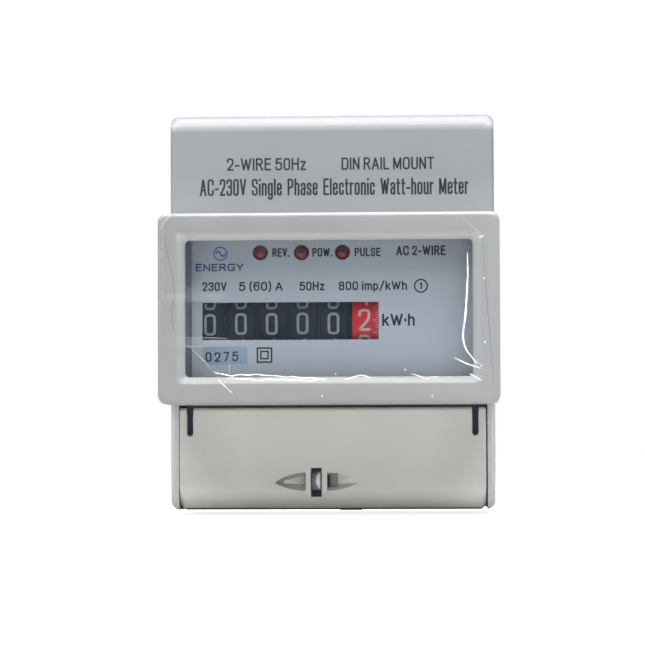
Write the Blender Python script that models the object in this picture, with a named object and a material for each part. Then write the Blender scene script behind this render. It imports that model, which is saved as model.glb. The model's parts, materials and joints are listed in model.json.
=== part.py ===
"""Four-module DIN-rail watt-hour meter with a drum register.

Frame: +Z up, the front faces -Y, +X is to the right seen from the front.
The origin is on the rail seat plane, at the rail's centre height and mid width.
Lengths below are in millimetres and are turned into metres when a mesh is made.
"""

import math

import bmesh
import bpy
from mathutils import Matrix, Vector

MM = 0.001
GAP = 0.3                    # clearance between pieces that meet

# Housing
BODY_HALF_W = 37.0
BODY_HALF_H = 45.0
WALL = 1.8
SPLIT_Y = -26.0              # seam between the rear base and the front housing
SHOULDER_Y = -42.0           # front face of the upper tier and of the terminal cover
SHOULDER_FILLET = 2.6
BODY_CORNER = 2.0            # seen from the front
LEG_Y = 5.5                  # rear face of the feet behind the rail
TERMINAL_REAR_Y = -9.0

# Nose
NOSE_HALF_W = 38.0
NOSE_HALF_H = 21.25
NOSE_FRONT_Y = -60.0
NOSE_CORNER = 2.0
WINDOW_HALF_W = 32.0
WINDOW_HALF_H = 15.25
WINDOW_BEVEL = 1.65
LENS_FRONT_Y = -57.2
LENS_THICK = 1.4
PLATE_FRONT_Y = -52.0
PLATE_THICK = 0.6
PLATE_X = (-31.1, 33.0)
FILM_THICK = 0.25

# Standard 35 mm rail
RAIL_HALF_H = 17.5
RAIL_LIP_THICK = 1.0
SEAT_HALF_H = 16.0
CHANNEL_HALF_H = RAIL_HALF_H + 0.4
HOOK_TIP_Z = 16.3
HOOK_THICK = 2.2

# Rail latch
LATCH_X = 2.5
LATCH_HALF_W = 9.0
LATCH_RIB_HALF_W = 6.0
LATCH_TAB_HALF_W = 2.75
LATCH_WINDOW_HALF_W = 2.6
LATCH_Y = (1.3, 3.3)
LATCH_RIB_Y = 5.2
LATCH_BOTTOM_Z = -45.9
SPRING_RADIUS = 1.8
SPRING_WIRE = 0.25
SPRING_TURNS = 5
SPRING_Z = (-36.0, -27.4)
SPRING_Y = 3.0

# Register
DRUM_AXIS_Y = -41.5
DRUM_AXIS_Z = -2.45
DRUM_RADIUS = 9.3
DRUM_TOOTH = (7.6, 8.5)      # root and tip radius of the toothed rim
DRUM_WIDTH = 6.6
DRUM_RIM_WIDTH = 0.9
DRUM_PITCH = 6.95
FIRST_DRUM_X = 8.25
DRUM_COUNT = 6
DRUM_TEETH = 20
SHAFT_RADIUS = 1.8
PINION_TOOTH = (1.9, 2.6)
PINION_TEETH = 8
PINION_SHAFT_RADIUS = 0.9
PINION_ANGLE = math.radians(225)      # direction of the pinion shaft from the drum axis
REGISTER_X = (-32.4, 13.2)            # outer faces of the register frame
REGISTER_PLATE = 1.2
REGISTER_WINDOW_X = (-28.7, 10.9)
REGISTER_WINDOW_Z = (-6.75, 1.7)
DRIVE_GEAR_TOOTH = (6.3, 7.0)
DRIVE_GEAR_TEETH = 24
ROTOR_TOOTH = (1.2, 1.75)
ROTOR_TEETH = 6

# Indicators
LED_X = (-15.6, -6.35, 2.85)
LED_Z = 12.85
LED_RADIUS = 1.55
LED_TIP_Y = -52.7

# Terminals
CLAMP_X = (-27.0, -14.0, 14.0, 27.0)
CLAMP_HALF_W = 4.6
CLAMP_Y = (-26.0, -13.0)
CLAMP_Z = (-41.5, -23.0)
WIRE_RADIUS = 3.4
WIRE_Y = -19.0
SCREW_Z = -31.0
SCREW_RADIUS = 2.0
SCREW_HEAD_RADIUS = 3.1
AUX_X = (3.0, 7.6)
AUX_HALF_W = 1.7
AUX_WIRE_RADIUS = 1.1
AUX_SCREW_RADIUS = 0.75
AUX_SCREW_Z = -36.0
BLOCK_Z = (-42.8, -22.3)
BLOCK_Y = (-33.0, TERMINAL_REAR_Y)
BLOCK_HALF_W = 34.0
BARRIER_THICK = 1.5          # upright wall in front of the current links
BAY_TOP_Z = -20.6

# Terminal cover
COVER_HALF_W = 34.9
COVER_TOP_Z = -21.75
COVER_FOOT_Y = -14.0
COVER_BOTTOM_RADIUS = 5.0
EAR_SLOT_X = 32.45
EAR_SLOT_HALF_W = 0.72
EAR_SLOT_BOTTOM_Z = -28.2
PIVOT_Y = -39.6
PIVOT_Z = -25.3
PIN_RADIUS = 1.0
SEAL_X = -3.7
SEAL_Z = -38.8
SEAL_SLOT_HALF = (1.23, 3.28)
SEAL_SCOOP = (7.1, 4.0, 2.4)          # length, height and depth beside the slot
SEAL_SCOOP_GAP = 1.2                  # wall left between the slot and each scoop
SEAL_HOLE_Y = -40.6
LUG_HALF = (0.9, 2.2)


# ---------------------------------------------------------------- helpers

def clear_scene():
    for item in list(bpy.data.objects):
        bpy.data.objects.remove(item, do_unlink=True)


def make_collection(name):
    home = bpy.data.collections.new(name)
    bpy.context.scene.collection.children.link(home)
    return home


clear_scene()
PARTS = make_collection("watt_hour_meter")
TOOLS = make_collection("modelling_tools")


def material(name, colour, roughness, metallic=0.0, alpha=1.0):
    mat = bpy.data.materials.get(name) or bpy.data.materials.new(name)
    mat.use_nodes = True
    shader = mat.node_tree.nodes["Principled BSDF"]
    shader.inputs["Base Color"].default_value = (*colour, 1.0)
    shader.inputs["Roughness"].default_value = roughness
    shader.inputs["Metallic"].default_value = metallic
    shader.inputs["Alpha"].default_value = alpha
    return mat


def finish_mesh(name, bm, mat=None):
    """Turn a bmesh drawn in millimetres into an object: a part when it has a material, else a tool."""
    bmesh.ops.remove_doubles(bm, verts=bm.verts, dist=1e-5)
    bmesh.ops.recalc_face_normals(bm, faces=bm.faces)
    bmesh.ops.scale(bm, vec=(MM, MM, MM), verts=bm.verts)
    mesh = bpy.data.meshes.new(name)
    bm.to_mesh(mesh)
    bm.free()
    item = bpy.data.objects.new(name, mesh)
    if mat is None:
        item.hide_render = True
        item.display_type = "WIRE"
        TOOLS.objects.link(item)
    else:
        mesh.materials.append(mat)
        PARTS.objects.link(item)
    return item


def box(name, x, y, z, mat=None):
    """A box between the low and high values given for each axis."""
    bm = bmesh.new()
    size = [high - low for low, high in (x, y, z)]
    centre = [(high + low) / 2 for low, high in (x, y, z)]
    bmesh.ops.create_cube(bm, size=1.0, matrix=Matrix.Translation(centre) @ Matrix.Diagonal((*size, 1.0)))
    return finish_mesh(name, bm, mat)


AXIS_ORDER = {
    "X": lambda a, b, along: (along, a, b),
    "Y": lambda a, b, along: (a, along, b),
    "Z": lambda a, b, along: (a, b, along),
}


def prism(name, outline, axis, span, mat=None):
    """Extrude an outline along an axis; its two coordinates are the other axes in x, y, z order."""
    bm = bmesh.new()
    place = AXIS_ORDER[axis]
    corners = [bm.verts.new(place(a, b, span[0])) for a, b in outline]
    face = bm.faces.new(corners)
    raised = bmesh.ops.extrude_face_region(bm, geom=[face])
    moved = [v for v in raised["geom"] if isinstance(v, bmesh.types.BMVert)]
    bmesh.ops.translate(bm, verts=moved, vec=Vector(place(0.0, 0.0, span[1] - span[0])))
    return finish_mesh(name, bm, mat)


def arc(centre, radius, start, end, steps):
    """Points on an arc between two angles in degrees."""
    angles = [math.radians(start + (end - start) * i / steps) for i in range(steps + 1)]
    return [(centre[0] + radius * math.cos(t), centre[1] + radius * math.sin(t)) for t in angles]


def rounded_rectangle(low, high, radius, steps=4):
    (a0, b0), (a1, b1) = low, high
    return (
        arc((a1 - radius, b1 - radius), radius, 0, 90, steps)
        + arc((a0 + radius, b1 - radius), radius, 90, 180, steps)
        + arc((a0 + radius, b0 + radius), radius, 180, 270, steps)
        + arc((a1 - radius, b0 + radius), radius, 270, 360, steps)
    )


def rod(name, axis, centre, radius, span, mat=None, count=16):
    """A round bar along an axis; centre holds the other two coordinates."""
    bm = bmesh.new()
    place = AXIS_ORDER[axis]
    middle = Vector(place(*centre, (span[0] + span[1]) / 2))
    turn = Vector((0, 0, 1)).rotation_difference(Vector(place(0, 0, 1))).to_matrix().to_4x4()
    bmesh.ops.create_cone(bm, cap_ends=True, segments=count, radius1=radius, radius2=radius,
                          depth=span[1] - span[0], matrix=Matrix.Translation(middle) @ turn)
    return finish_mesh(name, bm, mat)


def loft_ring(name, axis, centre, loops, mat=None):
    """Join loops of equal length into a closed ring. Each loop is (position along axis, radii)."""
    bm = bmesh.new()
    place = AXIS_ORDER[axis]
    rows = []
    for along, radii in loops:
        row = []
        for i, radius in enumerate(radii):
            turn = 2 * math.pi * i / len(radii)
            point = (centre[0] + radius * math.cos(turn), centre[1] + radius * math.sin(turn))
            row.append(bm.verts.new(place(*point, along)))
        rows.append(row)
    for row, following in zip(rows, rows[1:] + rows[:1]):
        for i in range(len(row)):
            j = (i + 1) % len(row)
            bm.faces.new((row[i], row[j], following[j], following[i]))
    return finish_mesh(name, bm, mat)


def gear_ring(name, axis, centre, tooth, teeth, bore, span, mat):
    """A gear with pointed teeth and a round bore."""
    count = teeth * 2
    toothed = [tooth[i % 2] for i in range(count)]
    plain = [bore] * count
    low, high = span
    return loft_ring(name, axis, centre, [(low, plain), (low, toothed), (high, toothed), (high, plain)], mat)


def change(part, operation, tools):
    for tool in tools:
        step = part.modifiers.new(tool.name, "BOOLEAN")
        step.operation = operation
        step.solver = "EXACT"
        step.object = tool


def cut(part, *tools):
    change(part, "DIFFERENCE", tools)


def fuse(part, *tools):
    change(part, "UNION", tools)


def move_origin(part, point):
    """Put a part's origin on a point, in millimetres, without moving its shape."""
    place = Vector(point) * MM
    part.data.transform(Matrix.Translation(-place))
    part.location = place


# ---------------------------------------------------------------- materials

LIGHT_GREY = material("light_grey_plastic", (0.45, 0.46, 0.47), 0.45)
WARM_GREY = material("warm_grey_plastic", (0.48, 0.48, 0.45), 0.42)
BEZEL_GREY = material("bezel_grey_plastic", (0.42, 0.42, 0.41), 0.38)
DARK_PLASTIC = material("dark_plastic", (0.03, 0.035, 0.04), 0.5)
CLEAR = material("clear_polycarbonate", (0.95, 0.97, 1.0), 0.05, 0.0, 0.15)
FILM = material("protective_film", (0.9, 0.93, 1.0), 0.15, 0.0, 0.15)
PLATE = material("printed_plate", (0.55, 0.58, 0.62), 0.5)
BLACK_DRUM = material("black_drum", (0.02, 0.025, 0.03), 0.45)
RED_DRUM = material("red_drum", (0.55, 0.03, 0.04), 0.45)
NYLON = material("natural_nylon", (0.75, 0.73, 0.66), 0.5)
STEEL = material("zinc_plated_steel", (0.6, 0.6, 0.58), 0.3, 1.0)
BRASS = material("brass", (0.72, 0.52, 0.2), 0.3, 1.0)
COPPER = material("copper", (0.8, 0.4, 0.25), 0.3, 1.0)
BOARD = material("board_green", (0.02, 0.2, 0.08), 0.5)
RED_LENS = material("red_indicator", (0.25, 0.01, 0.01), 0.25)
BLUE_PLASTIC = material("blue_component", (0.03, 0.12, 0.45), 0.4)
YELLOW_PLASTIC = material("yellow_component", (0.75, 0.6, 0.1), 0.4)


# ---------------------------------------------------------------- housing

def housing_screw_places():
    return [(side * 31.0, 38.5) for side in (-1, 1)]


def make_rear_base():
    """Back shell: the rail channel with its fixed hook, the latch guide and the terminal bay."""
    hook_y = RAIL_LIP_THICK + GAP
    outline = [
        (SPLIT_Y, -BODY_HALF_H), (LEG_Y, -BODY_HALF_H), (LEG_Y, -CHANNEL_HALF_H),
        (-GAP, -CHANNEL_HALF_H), (-GAP, -SEAT_HALF_H), (0, -SEAT_HALF_H),
        (0, SEAT_HALF_H), (-GAP, SEAT_HALF_H), (-GAP, CHANNEL_HALF_H),
        (hook_y, CHANNEL_HALF_H), (hook_y, HOOK_TIP_Z), (hook_y + HOOK_THICK, HOOK_TIP_Z),
        (LEG_Y, CHANNEL_HALF_H), (LEG_Y, BODY_HALF_H), (SPLIT_Y, BODY_HALF_H),
    ]
    base = prism("rear_base", outline, "X", (-BODY_HALF_W, BODY_HALF_W), LIGHT_GREY)
    inner = BODY_HALF_W - WALL
    cut(base, box("base_cavity", (-inner, inner), (SPLIT_Y - 1, -2.5), (BAY_TOP_Z, BODY_HALF_H - WALL)))
    cut(base, box("terminal_bay", (-inner, inner), (SPLIT_Y - 1, TERMINAL_REAR_Y + GAP),
                  (-BODY_HALF_H - 1, BAY_TOP_Z + 0.01)))
    cut(base, box("latch_guide", (LATCH_X - LATCH_HALF_W - GAP, LATCH_X + LATCH_HALF_W + GAP),
                  (LATCH_Y[0] - GAP, LATCH_Y[1] + GAP), (-BODY_HALF_H - 1, -CHANNEL_HALF_H + 1)))
    cut(base, box("latch_rib_guide", (LATCH_X - LATCH_RIB_HALF_W - GAP, LATCH_X + LATCH_RIB_HALF_W + GAP),
                  (LATCH_Y[1], LEG_Y + 1), (-BODY_HALF_H - 1, -CHANNEL_HALF_H + 1)))
    fuse(base, box("spring_stop", (LATCH_X - 2.2, LATCH_X + 2.2), (LATCH_Y[0] - 2 * GAP, LATCH_RIB_Y - 0.2),
                   (SPRING_Z[0] - 2.0, SPRING_Z[0] - GAP)))
    round_corners(base, (SPLIT_Y - 1, LEG_Y + 1))
    for x, z in housing_screw_places():
        cut(base, rod(f"base_screw_hole_{x:.0f}", "Y", (x, z), 1.7, (-10, LEG_Y + 1)))
        cut(base, rod(f"base_screw_sink_{x:.0f}", "Y", (x, z), 3.0, (2.5, LEG_Y + 1)))


def round_corners(shell, span):
    """Round the four long corners of a shell over a span of y."""
    for side in (-1, 1):
        for end in (-1, 1):
            centre = (side * (BODY_HALF_W - BODY_CORNER), end * (BODY_HALF_H - BODY_CORNER))
            quarter = arc((0, 0), BODY_CORNER, 0, 90, 5)
            outline = [(centre[0] + side * a, centre[1] + end * b) for a, b in quarter]
            outline += [(side * (BODY_HALF_W - BODY_CORNER), end * (BODY_HALF_H + 1)),
                        (side * (BODY_HALF_W + 1), end * (BODY_HALF_H + 1)),
                        (side * (BODY_HALF_W + 1), end * (BODY_HALF_H - BODY_CORNER))]
            cut(shell, prism(f"{shell.name}_corner_{side}_{end}", outline, "Y", span))


def make_front_housing():
    """Front shell: the upper tier, the cheeks beside the terminal cover and the sleeve under the nose."""
    fillet = SHOULDER_FILLET
    outline = [(SPLIT_Y - GAP, -BODY_HALF_H), (SPLIT_Y - GAP, BODY_HALF_H)]
    outline += arc((SHOULDER_Y + fillet, BODY_HALF_H - fillet), fillet, 90, 180, 6)
    outline += arc((SHOULDER_Y + fillet, -BODY_HALF_H + fillet), fillet, 180, 270, 4)
    shell = prism("front_housing", outline, "X", (-BODY_HALF_W, BODY_HALF_W), LIGHT_GREY)
    round_corners(shell, (SHOULDER_Y - 1, SPLIT_Y + 1))
    inner = BODY_HALF_W - WALL
    sleeve_half_w = NOSE_HALF_W - 3.2
    sleeve_half_h = NOSE_HALF_H - 2.2
    fuse(shell, box("nose_sleeve", (-sleeve_half_w, sleeve_half_w), (-50.0, SHOULDER_Y + 1),
                    (-sleeve_half_h, sleeve_half_h)))
    cut(shell, box("upper_cavity", (-inner, inner), (SHOULDER_Y + WALL, SPLIT_Y + 1),
                   (-sleeve_half_h + 1.4, BODY_HALF_H - WALL)))
    bore_half_w, bore_half_h = sleeve_half_w - 1.4, sleeve_half_h - 1.4
    cut(shell, box("sleeve_bore", (-bore_half_w, bore_half_w), (-51.0, SHOULDER_Y + WALL + 0.01),
                   (-bore_half_h, bore_half_h)))
    bay = COVER_HALF_W + GAP
    cut(shell, box("cover_bay", (-bay, bay), (SHOULDER_Y - 1, SPLIT_Y + 1), (-BODY_HALF_H - 1, BAY_TOP_Z)))
    for side in (-1, 1):
        x = sorted((side * (bay - 1), side * (bay + 1.2)))
        cut(shell, rod(f"pivot_socket_{side}", "X", (PIVOT_Y, PIVOT_Z), PIN_RADIUS + GAP, x, count=20))
    for x, z in housing_screw_places():
        fuse(shell, rod(f"boss_{x:.0f}", "Y", (x, z), 3.0, (SHOULDER_Y + 1, SPLIT_Y - 2)))
        cut(shell, rod(f"boss_bore_{x:.0f}", "Y", (x, z), 1.5, (SHOULDER_Y + 4, SPLIT_Y)))


def make_front_bezel():
    """Nose piece with the bevelled window opening."""
    outline = rounded_rectangle((-NOSE_HALF_W, -NOSE_HALF_H), (NOSE_HALF_W, NOSE_HALF_H), NOSE_CORNER)
    bezel = prism("front_bezel", outline, "Y", (NOSE_FRONT_Y, SHOULDER_Y - GAP), BEZEL_GREY)
    back = LENS_FRONT_Y - GAP
    inner_w, inner_h = NOSE_HALF_W - WALL, NOSE_HALF_H - 1.6
    inside = rounded_rectangle((-inner_w, -inner_h), (inner_w, inner_h), 0.8)
    cut(bezel, prism("bezel_cavity", inside, "Y", (back, SHOULDER_Y + 1)))
    cut(bezel, window_cutter(back + 1))


def window_cutter(back):
    """A frustum for the bevel, joined to a straight-sided opening behind it."""
    bm = bmesh.new()
    front_y = NOSE_FRONT_Y - 1
    bevel_end = NOSE_FRONT_Y + WINDOW_BEVEL * 0.8
    sections = [
        (front_y, WINDOW_BEVEL * (1 + 1 / (WINDOW_BEVEL * 0.8))), (bevel_end, 0.0), (back, 0.0),
    ]
    rows = []
    for y, grow in sections:
        outline = rounded_rectangle((-WINDOW_HALF_W - grow, -WINDOW_HALF_H - grow),
                                    (WINDOW_HALF_W + grow, WINDOW_HALF_H + grow), 1.0 + grow * 0.5, 3)
        rows.append([bm.verts.new((x, y, z)) for x, z in outline])
    for row, following in zip(rows, rows[1:]):
        for i in range(len(row)):
            j = (i + 1) % len(row)
            bm.faces.new((row[i], row[j], following[j], following[i]))
    bm.faces.new(rows[0])
    bm.faces.new(rows[-1])
    return finish_mesh("window_opening", bm)


def make_window_lens():
    outline = rounded_rectangle((-WINDOW_HALF_W - 2.5, -WINDOW_HALF_H - 2.5),
                                (WINDOW_HALF_W + 2.5, WINDOW_HALF_H + 2.5), 1.0)
    prism("window_lens", outline, "Y", (LENS_FRONT_Y, LENS_FRONT_Y + LENS_THICK), CLEAR)


def make_protective_film():
    half_w, half_h = NOSE_HALF_W - 0.4, NOSE_HALF_H - 0.4
    outline = rounded_rectangle((-half_w, -half_h), (half_w, half_h), 1.6)
    front = NOSE_FRONT_Y - GAP
    prism("protective_film", outline, "Y", (front - FILM_THICK, front), FILM)


def make_nameplate():
    low = (PLATE_X[0], -WINDOW_HALF_H - 1.6)
    high = (PLATE_X[1], WINDOW_HALF_H + 1.6)
    span = (PLATE_FRONT_Y, PLATE_FRONT_Y + PLATE_THICK)
    plate = prism("nameplate", rounded_rectangle(low, high, 1.0), "Y", span, PLATE)
    cut_span = (span[0] - 1, span[1] + 1)
    cut(plate, box("register_opening", REGISTER_WINDOW_X, cut_span, REGISTER_WINDOW_Z))
    for i, x in enumerate(LED_X):
        cut(plate, rod(f"led_hole_{i + 1}", "Y", (x, LED_Z), LED_RADIUS + GAP, cut_span))


def make_housing_screws():
    for side, (x, z) in zip(("left", "right"), housing_screw_places()):
        shank = rod(f"housing_screw_{side}", "Y", (x, z), 1.2, (SHOULDER_Y + 6, 3.5), STEEL, 12)
        fuse(shank, rod(f"screw_head_{side}", "Y", (x, z), 2.6, (2.8, 5.0), count=16))


# ---------------------------------------------------------------- rail latch

def make_rail_latch():
    plate_z = (LATCH_BOTTOM_Z + 2.5, -HOOK_TIP_Z)
    outline = [(LATCH_Y[0], -HOOK_TIP_Z), (LATCH_Y[1], -HOOK_TIP_Z - 1.6), (LATCH_Y[1], plate_z[0]),
               (LATCH_Y[0], plate_z[0])]
    plate, rib, tab, window = ((LATCH_X - half, LATCH_X + half) for half in (
        LATCH_HALF_W, LATCH_RIB_HALF_W, LATCH_TAB_HALF_W, LATCH_WINDOW_HALF_W))
    latch = prism("rail_latch", outline, "X", plate, LIGHT_GREY)
    fuse(latch, box("latch_rib", rib, (LATCH_Y[1] - 0.5, LATCH_RIB_Y), (plate_z[0], -HOOK_TIP_Z - 4.0)))
    fuse(latch, box("latch_tab", tab, (LATCH_Y[0] + 0.2, LATCH_RIB_Y - 0.2),
                    (LATCH_BOTTOM_Z, plate_z[0] + 1)))
    cut(latch, box("latch_window", window, (0, 7), (SPRING_Z[0] - 2.5, SPRING_Z[1] + GAP)))
    move_origin(latch, (LATCH_X, LATCH_Y[0], LATCH_BOTTOM_Z))


def make_latch_spring():
    """Open compression coil; the lower end stands on the base's stop."""
    curve = bpy.data.curves.new("rail_latch_spring", "CURVE")
    curve.dimensions = "3D"
    curve.bevel_depth = SPRING_WIRE * MM
    curve.bevel_resolution = 1
    curve.use_fill_caps = True
    line = curve.splines.new("POLY")
    per_turn = 10
    count = SPRING_TURNS * per_turn + 1
    line.points.add(count - 1)
    low, high = SPRING_Z[0] + SPRING_WIRE, SPRING_Z[1] - SPRING_WIRE
    for i in range(count):
        turn = 2 * math.pi * i / per_turn
        point = (LATCH_X + SPRING_RADIUS * math.cos(turn), SPRING_Y + SPRING_RADIUS * math.sin(turn),
                 low + (high - low) * i / (count - 1))
        line.points[i].co = (*(MM * value for value in point), 1.0)
    curve.materials.append(STEEL)
    PARTS.objects.link(bpy.data.objects.new("rail_latch_spring", curve))


# ---------------------------------------------------------------- register

def drum_x(index):
    return FIRST_DRUM_X - index * DRUM_PITCH


def pinion_centre():
    reach = DRUM_TOOTH[1] + GAP + PINION_TOOTH[1]
    return (DRUM_AXIS_Y - reach * math.cos(PINION_ANGLE), DRUM_AXIS_Z + reach * math.sin(PINION_ANGLE))


def make_digit_drums():
    """Number drums: a plain band and, on the side of the faster drum, a toothed rim."""
    names = ["digit_drum_tenths"] + [f"digit_drum_{10 ** i}" for i in range(DRUM_COUNT - 1)]
    count = DRUM_TEETH * 2
    bore = [SHAFT_RADIUS + GAP] * count
    band = [DRUM_RADIUS] * count
    toothed = [DRUM_TOOTH[i % 2] for i in range(count)]
    for index, name in enumerate(names):
        left = drum_x(index) - DRUM_WIDTH / 2
        right = left + DRUM_WIDTH
        rim = right - DRUM_RIM_WIDTH
        if index == 0:
            loops = [(left, bore), (left, band), (right, band), (right, bore)]
        else:
            loops = [(left, bore), (left, band), (rim, band), (rim, toothed), (right, toothed), (right, bore)]
        mat = RED_DRUM if index == 0 else BLACK_DRUM
        drum = loft_ring(name, "X", (DRUM_AXIS_Y, DRUM_AXIS_Z), loops, mat)
        move_origin(drum, (drum_x(index), DRUM_AXIS_Y, DRUM_AXIS_Z))


def make_transfer_pinions():
    centre = pinion_centre()
    for index in range(DRUM_COUNT - 1):
        middle = drum_x(index) - DRUM_PITCH / 2
        rim_end = drum_x(index + 1) + DRUM_WIDTH / 2
        span = (rim_end - DRUM_RIM_WIDTH + 0.1, rim_end + 0.1)
        pinion = gear_ring(f"transfer_pinion_{index + 1}", "X", centre, PINION_TOOTH, PINION_TEETH,
                           PINION_SHAFT_RADIUS + GAP, span, NYLON)
        move_origin(pinion, (middle, *centre))


def make_register_frame():
    left, right = REGISTER_X
    plate = REGISTER_PLATE
    front, back = PLATE_FRONT_Y + PLATE_THICK + 0.6, SPLIT_Y - 3.0
    inner_left, inner_right, inner_back = left + plate, right - plate, back - plate
    outline = [(left, front), (inner_left, front), (inner_left, inner_back), (inner_right, inner_back),
               (inner_right, front), (right, front), (right, back), (left, back)]
    frame = prism("register_frame", outline, "Z", (-14.0, 9.0), NYLON)
    across = (left - 1, right + 1)
    cut(frame, rod("shaft_holes", "X", (DRUM_AXIS_Y, DRUM_AXIS_Z), SHAFT_RADIUS + GAP, across, count=20))
    cut(frame, rod("pinion_shaft_holes", "X", pinion_centre(), PINION_SHAFT_RADIUS + GAP, across))
    return frame


def make_register_shafts():
    left, right = REGISTER_X
    centre = (DRUM_AXIS_Y, DRUM_AXIS_Z)
    shaft = rod("drum_shaft", "X", centre, SHAFT_RADIUS, (left - 0.5, right + 2.4), STEEL, 20)
    move_origin(shaft, (0, *centre))
    rod("pinion_shaft", "X", pinion_centre(), PINION_SHAFT_RADIUS, (left - 0.4, right + 0.4), STEEL, 12)
    gear = gear_ring("drive_gear", "X", centre, DRIVE_GEAR_TOOTH, DRIVE_GEAR_TEETH, SHAFT_RADIUS + GAP,
                     (right + GAP, right + 1.8), NYLON)
    move_origin(gear, (right + 1, *centre))


def rotor_centre():
    reach = DRIVE_GEAR_TOOTH[1] + GAP + ROTOR_TOOTH[1]
    return DRUM_AXIS_Y, DRUM_AXIS_Z - reach


def make_stepper_motor():
    """Single-coil stepper that steps the register: rotor with pinion, steel yoke and coil."""
    centre = rotor_centre()
    right = REGISTER_X[1]
    count = ROTOR_TEETH * 2
    toothed = [ROTOR_TOOTH[i % 2] for i in range(count)]
    magnet = [2.6] * count
    bore = [0.4] * count
    pinion_x, magnet_x, end_x = right + GAP, right + 2.2, right + 7.6
    rotor = loft_ring("motor_rotor", "X", centre,
                      [(pinion_x, bore), (pinion_x, toothed), (magnet_x, toothed), (magnet_x, magnet),
                       (end_x, magnet), (end_x, bore)], DARK_PLASTIC)
    move_origin(rotor, (magnet_x, *centre))
    y, z = centre
    core_x = right + 5.9
    across = (right, end_x + 4)
    yoke = box("motor_yoke", (core_x - 0.8, core_x + 0.8), (y - 6, y + 6), (z - 3.6, z + 13.6), STEEL)
    cut(yoke, rod("rotor_gap", "X", centre, 3.0, across, count=20))
    cut(yoke, box("coil_gap", across, (y - 4, y + 8), (z + 4.4, z + 11.6)))
    coil = rod("motor_coil", "Z", (core_x, y - 5.0), 3.4, (z + 4.7, z + 11.3), COPPER, 20)
    cut(coil, box("coil_core_bore", (core_x - 1.1, core_x + 1.1), (y - 6.3, y - 3.7), (z + 4, z + 12)))


# ---------------------------------------------------------------- electronics

BOARD_FRONT_Y = SPLIT_Y - 1.2
COMPONENT_Y = BOARD_FRONT_Y - GAP


def make_main_board():
    outline = rounded_rectangle((-33.5, -17.0), (33.5, 34.0), 1.0, 2)
    prism("main_board", outline, "Y", (BOARD_FRONT_Y, BOARD_FRONT_Y + 1.6), BOARD)


def make_components():
    box("dropper_capacitor", (-29, -11), (COMPONENT_Y - 8.5, COMPONENT_Y), (19, 31), YELLOW_PLASTIC)
    rod("electrolytic_capacitor", "Y", (-2, 25), 5.0, (COMPONENT_Y - 11, COMPONENT_Y), DARK_PLASTIC, 24)
    rod("varistor", "X", (COMPONENT_Y - 5.2, 25), 5.0, (6.5, 10.5), BLUE_PLASTIC, 24)
    box("metering_chip", (20, 27.5), (COMPONENT_Y - 2.2, COMPONENT_Y), (-5, 5), DARK_PLASTIC)
    box("optocoupler", (24, 30.5), (COMPONENT_Y - 3.3, COMPONENT_Y), (-15, -10.4), DARK_PLASTIC)
    can = rounded_rectangle((16, 21), (27, 25.6), 2.2, 5)
    prism("crystal", can, "Y", (COMPONENT_Y - 3.5, COMPONENT_Y), STEEL)


def make_indicators():
    """Round indicators: a domed lens with two legs down to the board."""
    for i, x in enumerate(LED_X):
        profile = [(LED_TIP_Y + 4.6, 0.0), (LED_TIP_Y + 4.6, 1.9), (LED_TIP_Y + 3.7, 1.9),
                   (LED_TIP_Y + 3.7, LED_RADIUS)]
        profile += [(LED_TIP_Y + LED_RADIUS * (1 - math.sin(t)), LED_RADIUS * math.cos(t))
                    for t in (math.radians(d) for d in (0, 25, 50, 70, 90))]
        bm = bmesh.new()
        verts = [bm.verts.new((x + r, y, LED_Z)) for y, r in profile]
        edges = [bm.edges.new(pair) for pair in zip(verts, verts[1:])]
        bmesh.ops.spin(bm, geom=verts + edges, cent=(x, 0, LED_Z), axis=(0, 1, 0), angle=2 * math.pi,
                       steps=20)
        led = finish_mesh(f"indicator_{i + 1}", bm, RED_LENS)
        for side in (-1, 1):
            fuse(led, box(f"led_leg_{i}_{side}", (x + side * 1.27 - 0.25, x + side * 1.27 + 0.25),
                          (LED_TIP_Y + 4, BOARD_FRONT_Y - GAP), (LED_Z - 0.25, LED_Z + 0.25)))


# ---------------------------------------------------------------- terminals

def make_terminal_block():
    """Moulded block that carries the clamps and, at the front, the seal lug."""
    across = (-BLOCK_HALF_W, BLOCK_HALF_W)
    block = box("terminal_block", across, BLOCK_Y, BLOCK_Z, DARK_PLASTIC)
    fuse(block, box("barrier", across, (BLOCK_Y[0], BLOCK_Y[0] + BARRIER_THICK),
                    (BLOCK_Z[1] - 1, BAY_TOP_Z - GAP)))
    half_w, half_h = LUG_HALF
    lug = [(BLOCK_Y[0] + 1, SEAL_Z - half_h), (BLOCK_Y[0] + 1, SEAL_Z + half_h)]
    lug += arc((SHOULDER_Y + 2.4, SEAL_Z), half_h, 90, 270, 8)
    fuse(block, prism("seal_lug", lug, "X", (SEAL_X - half_w, SEAL_X + half_w)))
    cut(block, rod("lug_wire_hole", "X", (SEAL_HOLE_Y, SEAL_Z), 0.7, (SEAL_X - 3, SEAL_X + 3)))
    for i, x in enumerate(CLAMP_X):
        pocket = CLAMP_HALF_W + GAP
        cut(block, box(f"clamp_pocket_{i}", (x - pocket, x + pocket), (CLAMP_Y[0] - GAP, CLAMP_Y[1] + GAP),
                       (BLOCK_Z[0] - 1, BLOCK_Z[1] + 1)))
        cut(block, rod(f"screw_well_{i}", "Y", (x, SCREW_Z), SCREW_HEAD_RADIUS + 0.4,
                       (BLOCK_Y[0] - 1, CLAMP_Y[0]), count=20))
    for i, x in enumerate(AUX_X):
        pocket = AUX_HALF_W + GAP
        cut(block, box(f"aux_pocket_{i}", (x - pocket, x + pocket), (-26.3, -18.7), (BLOCK_Z[0] - 1, -26.7)))
        cut(block, rod(f"aux_screw_well_{i}", "Y", (x, AUX_SCREW_Z), 1.7, (BLOCK_Y[0] - 1, -26.0)))


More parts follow.
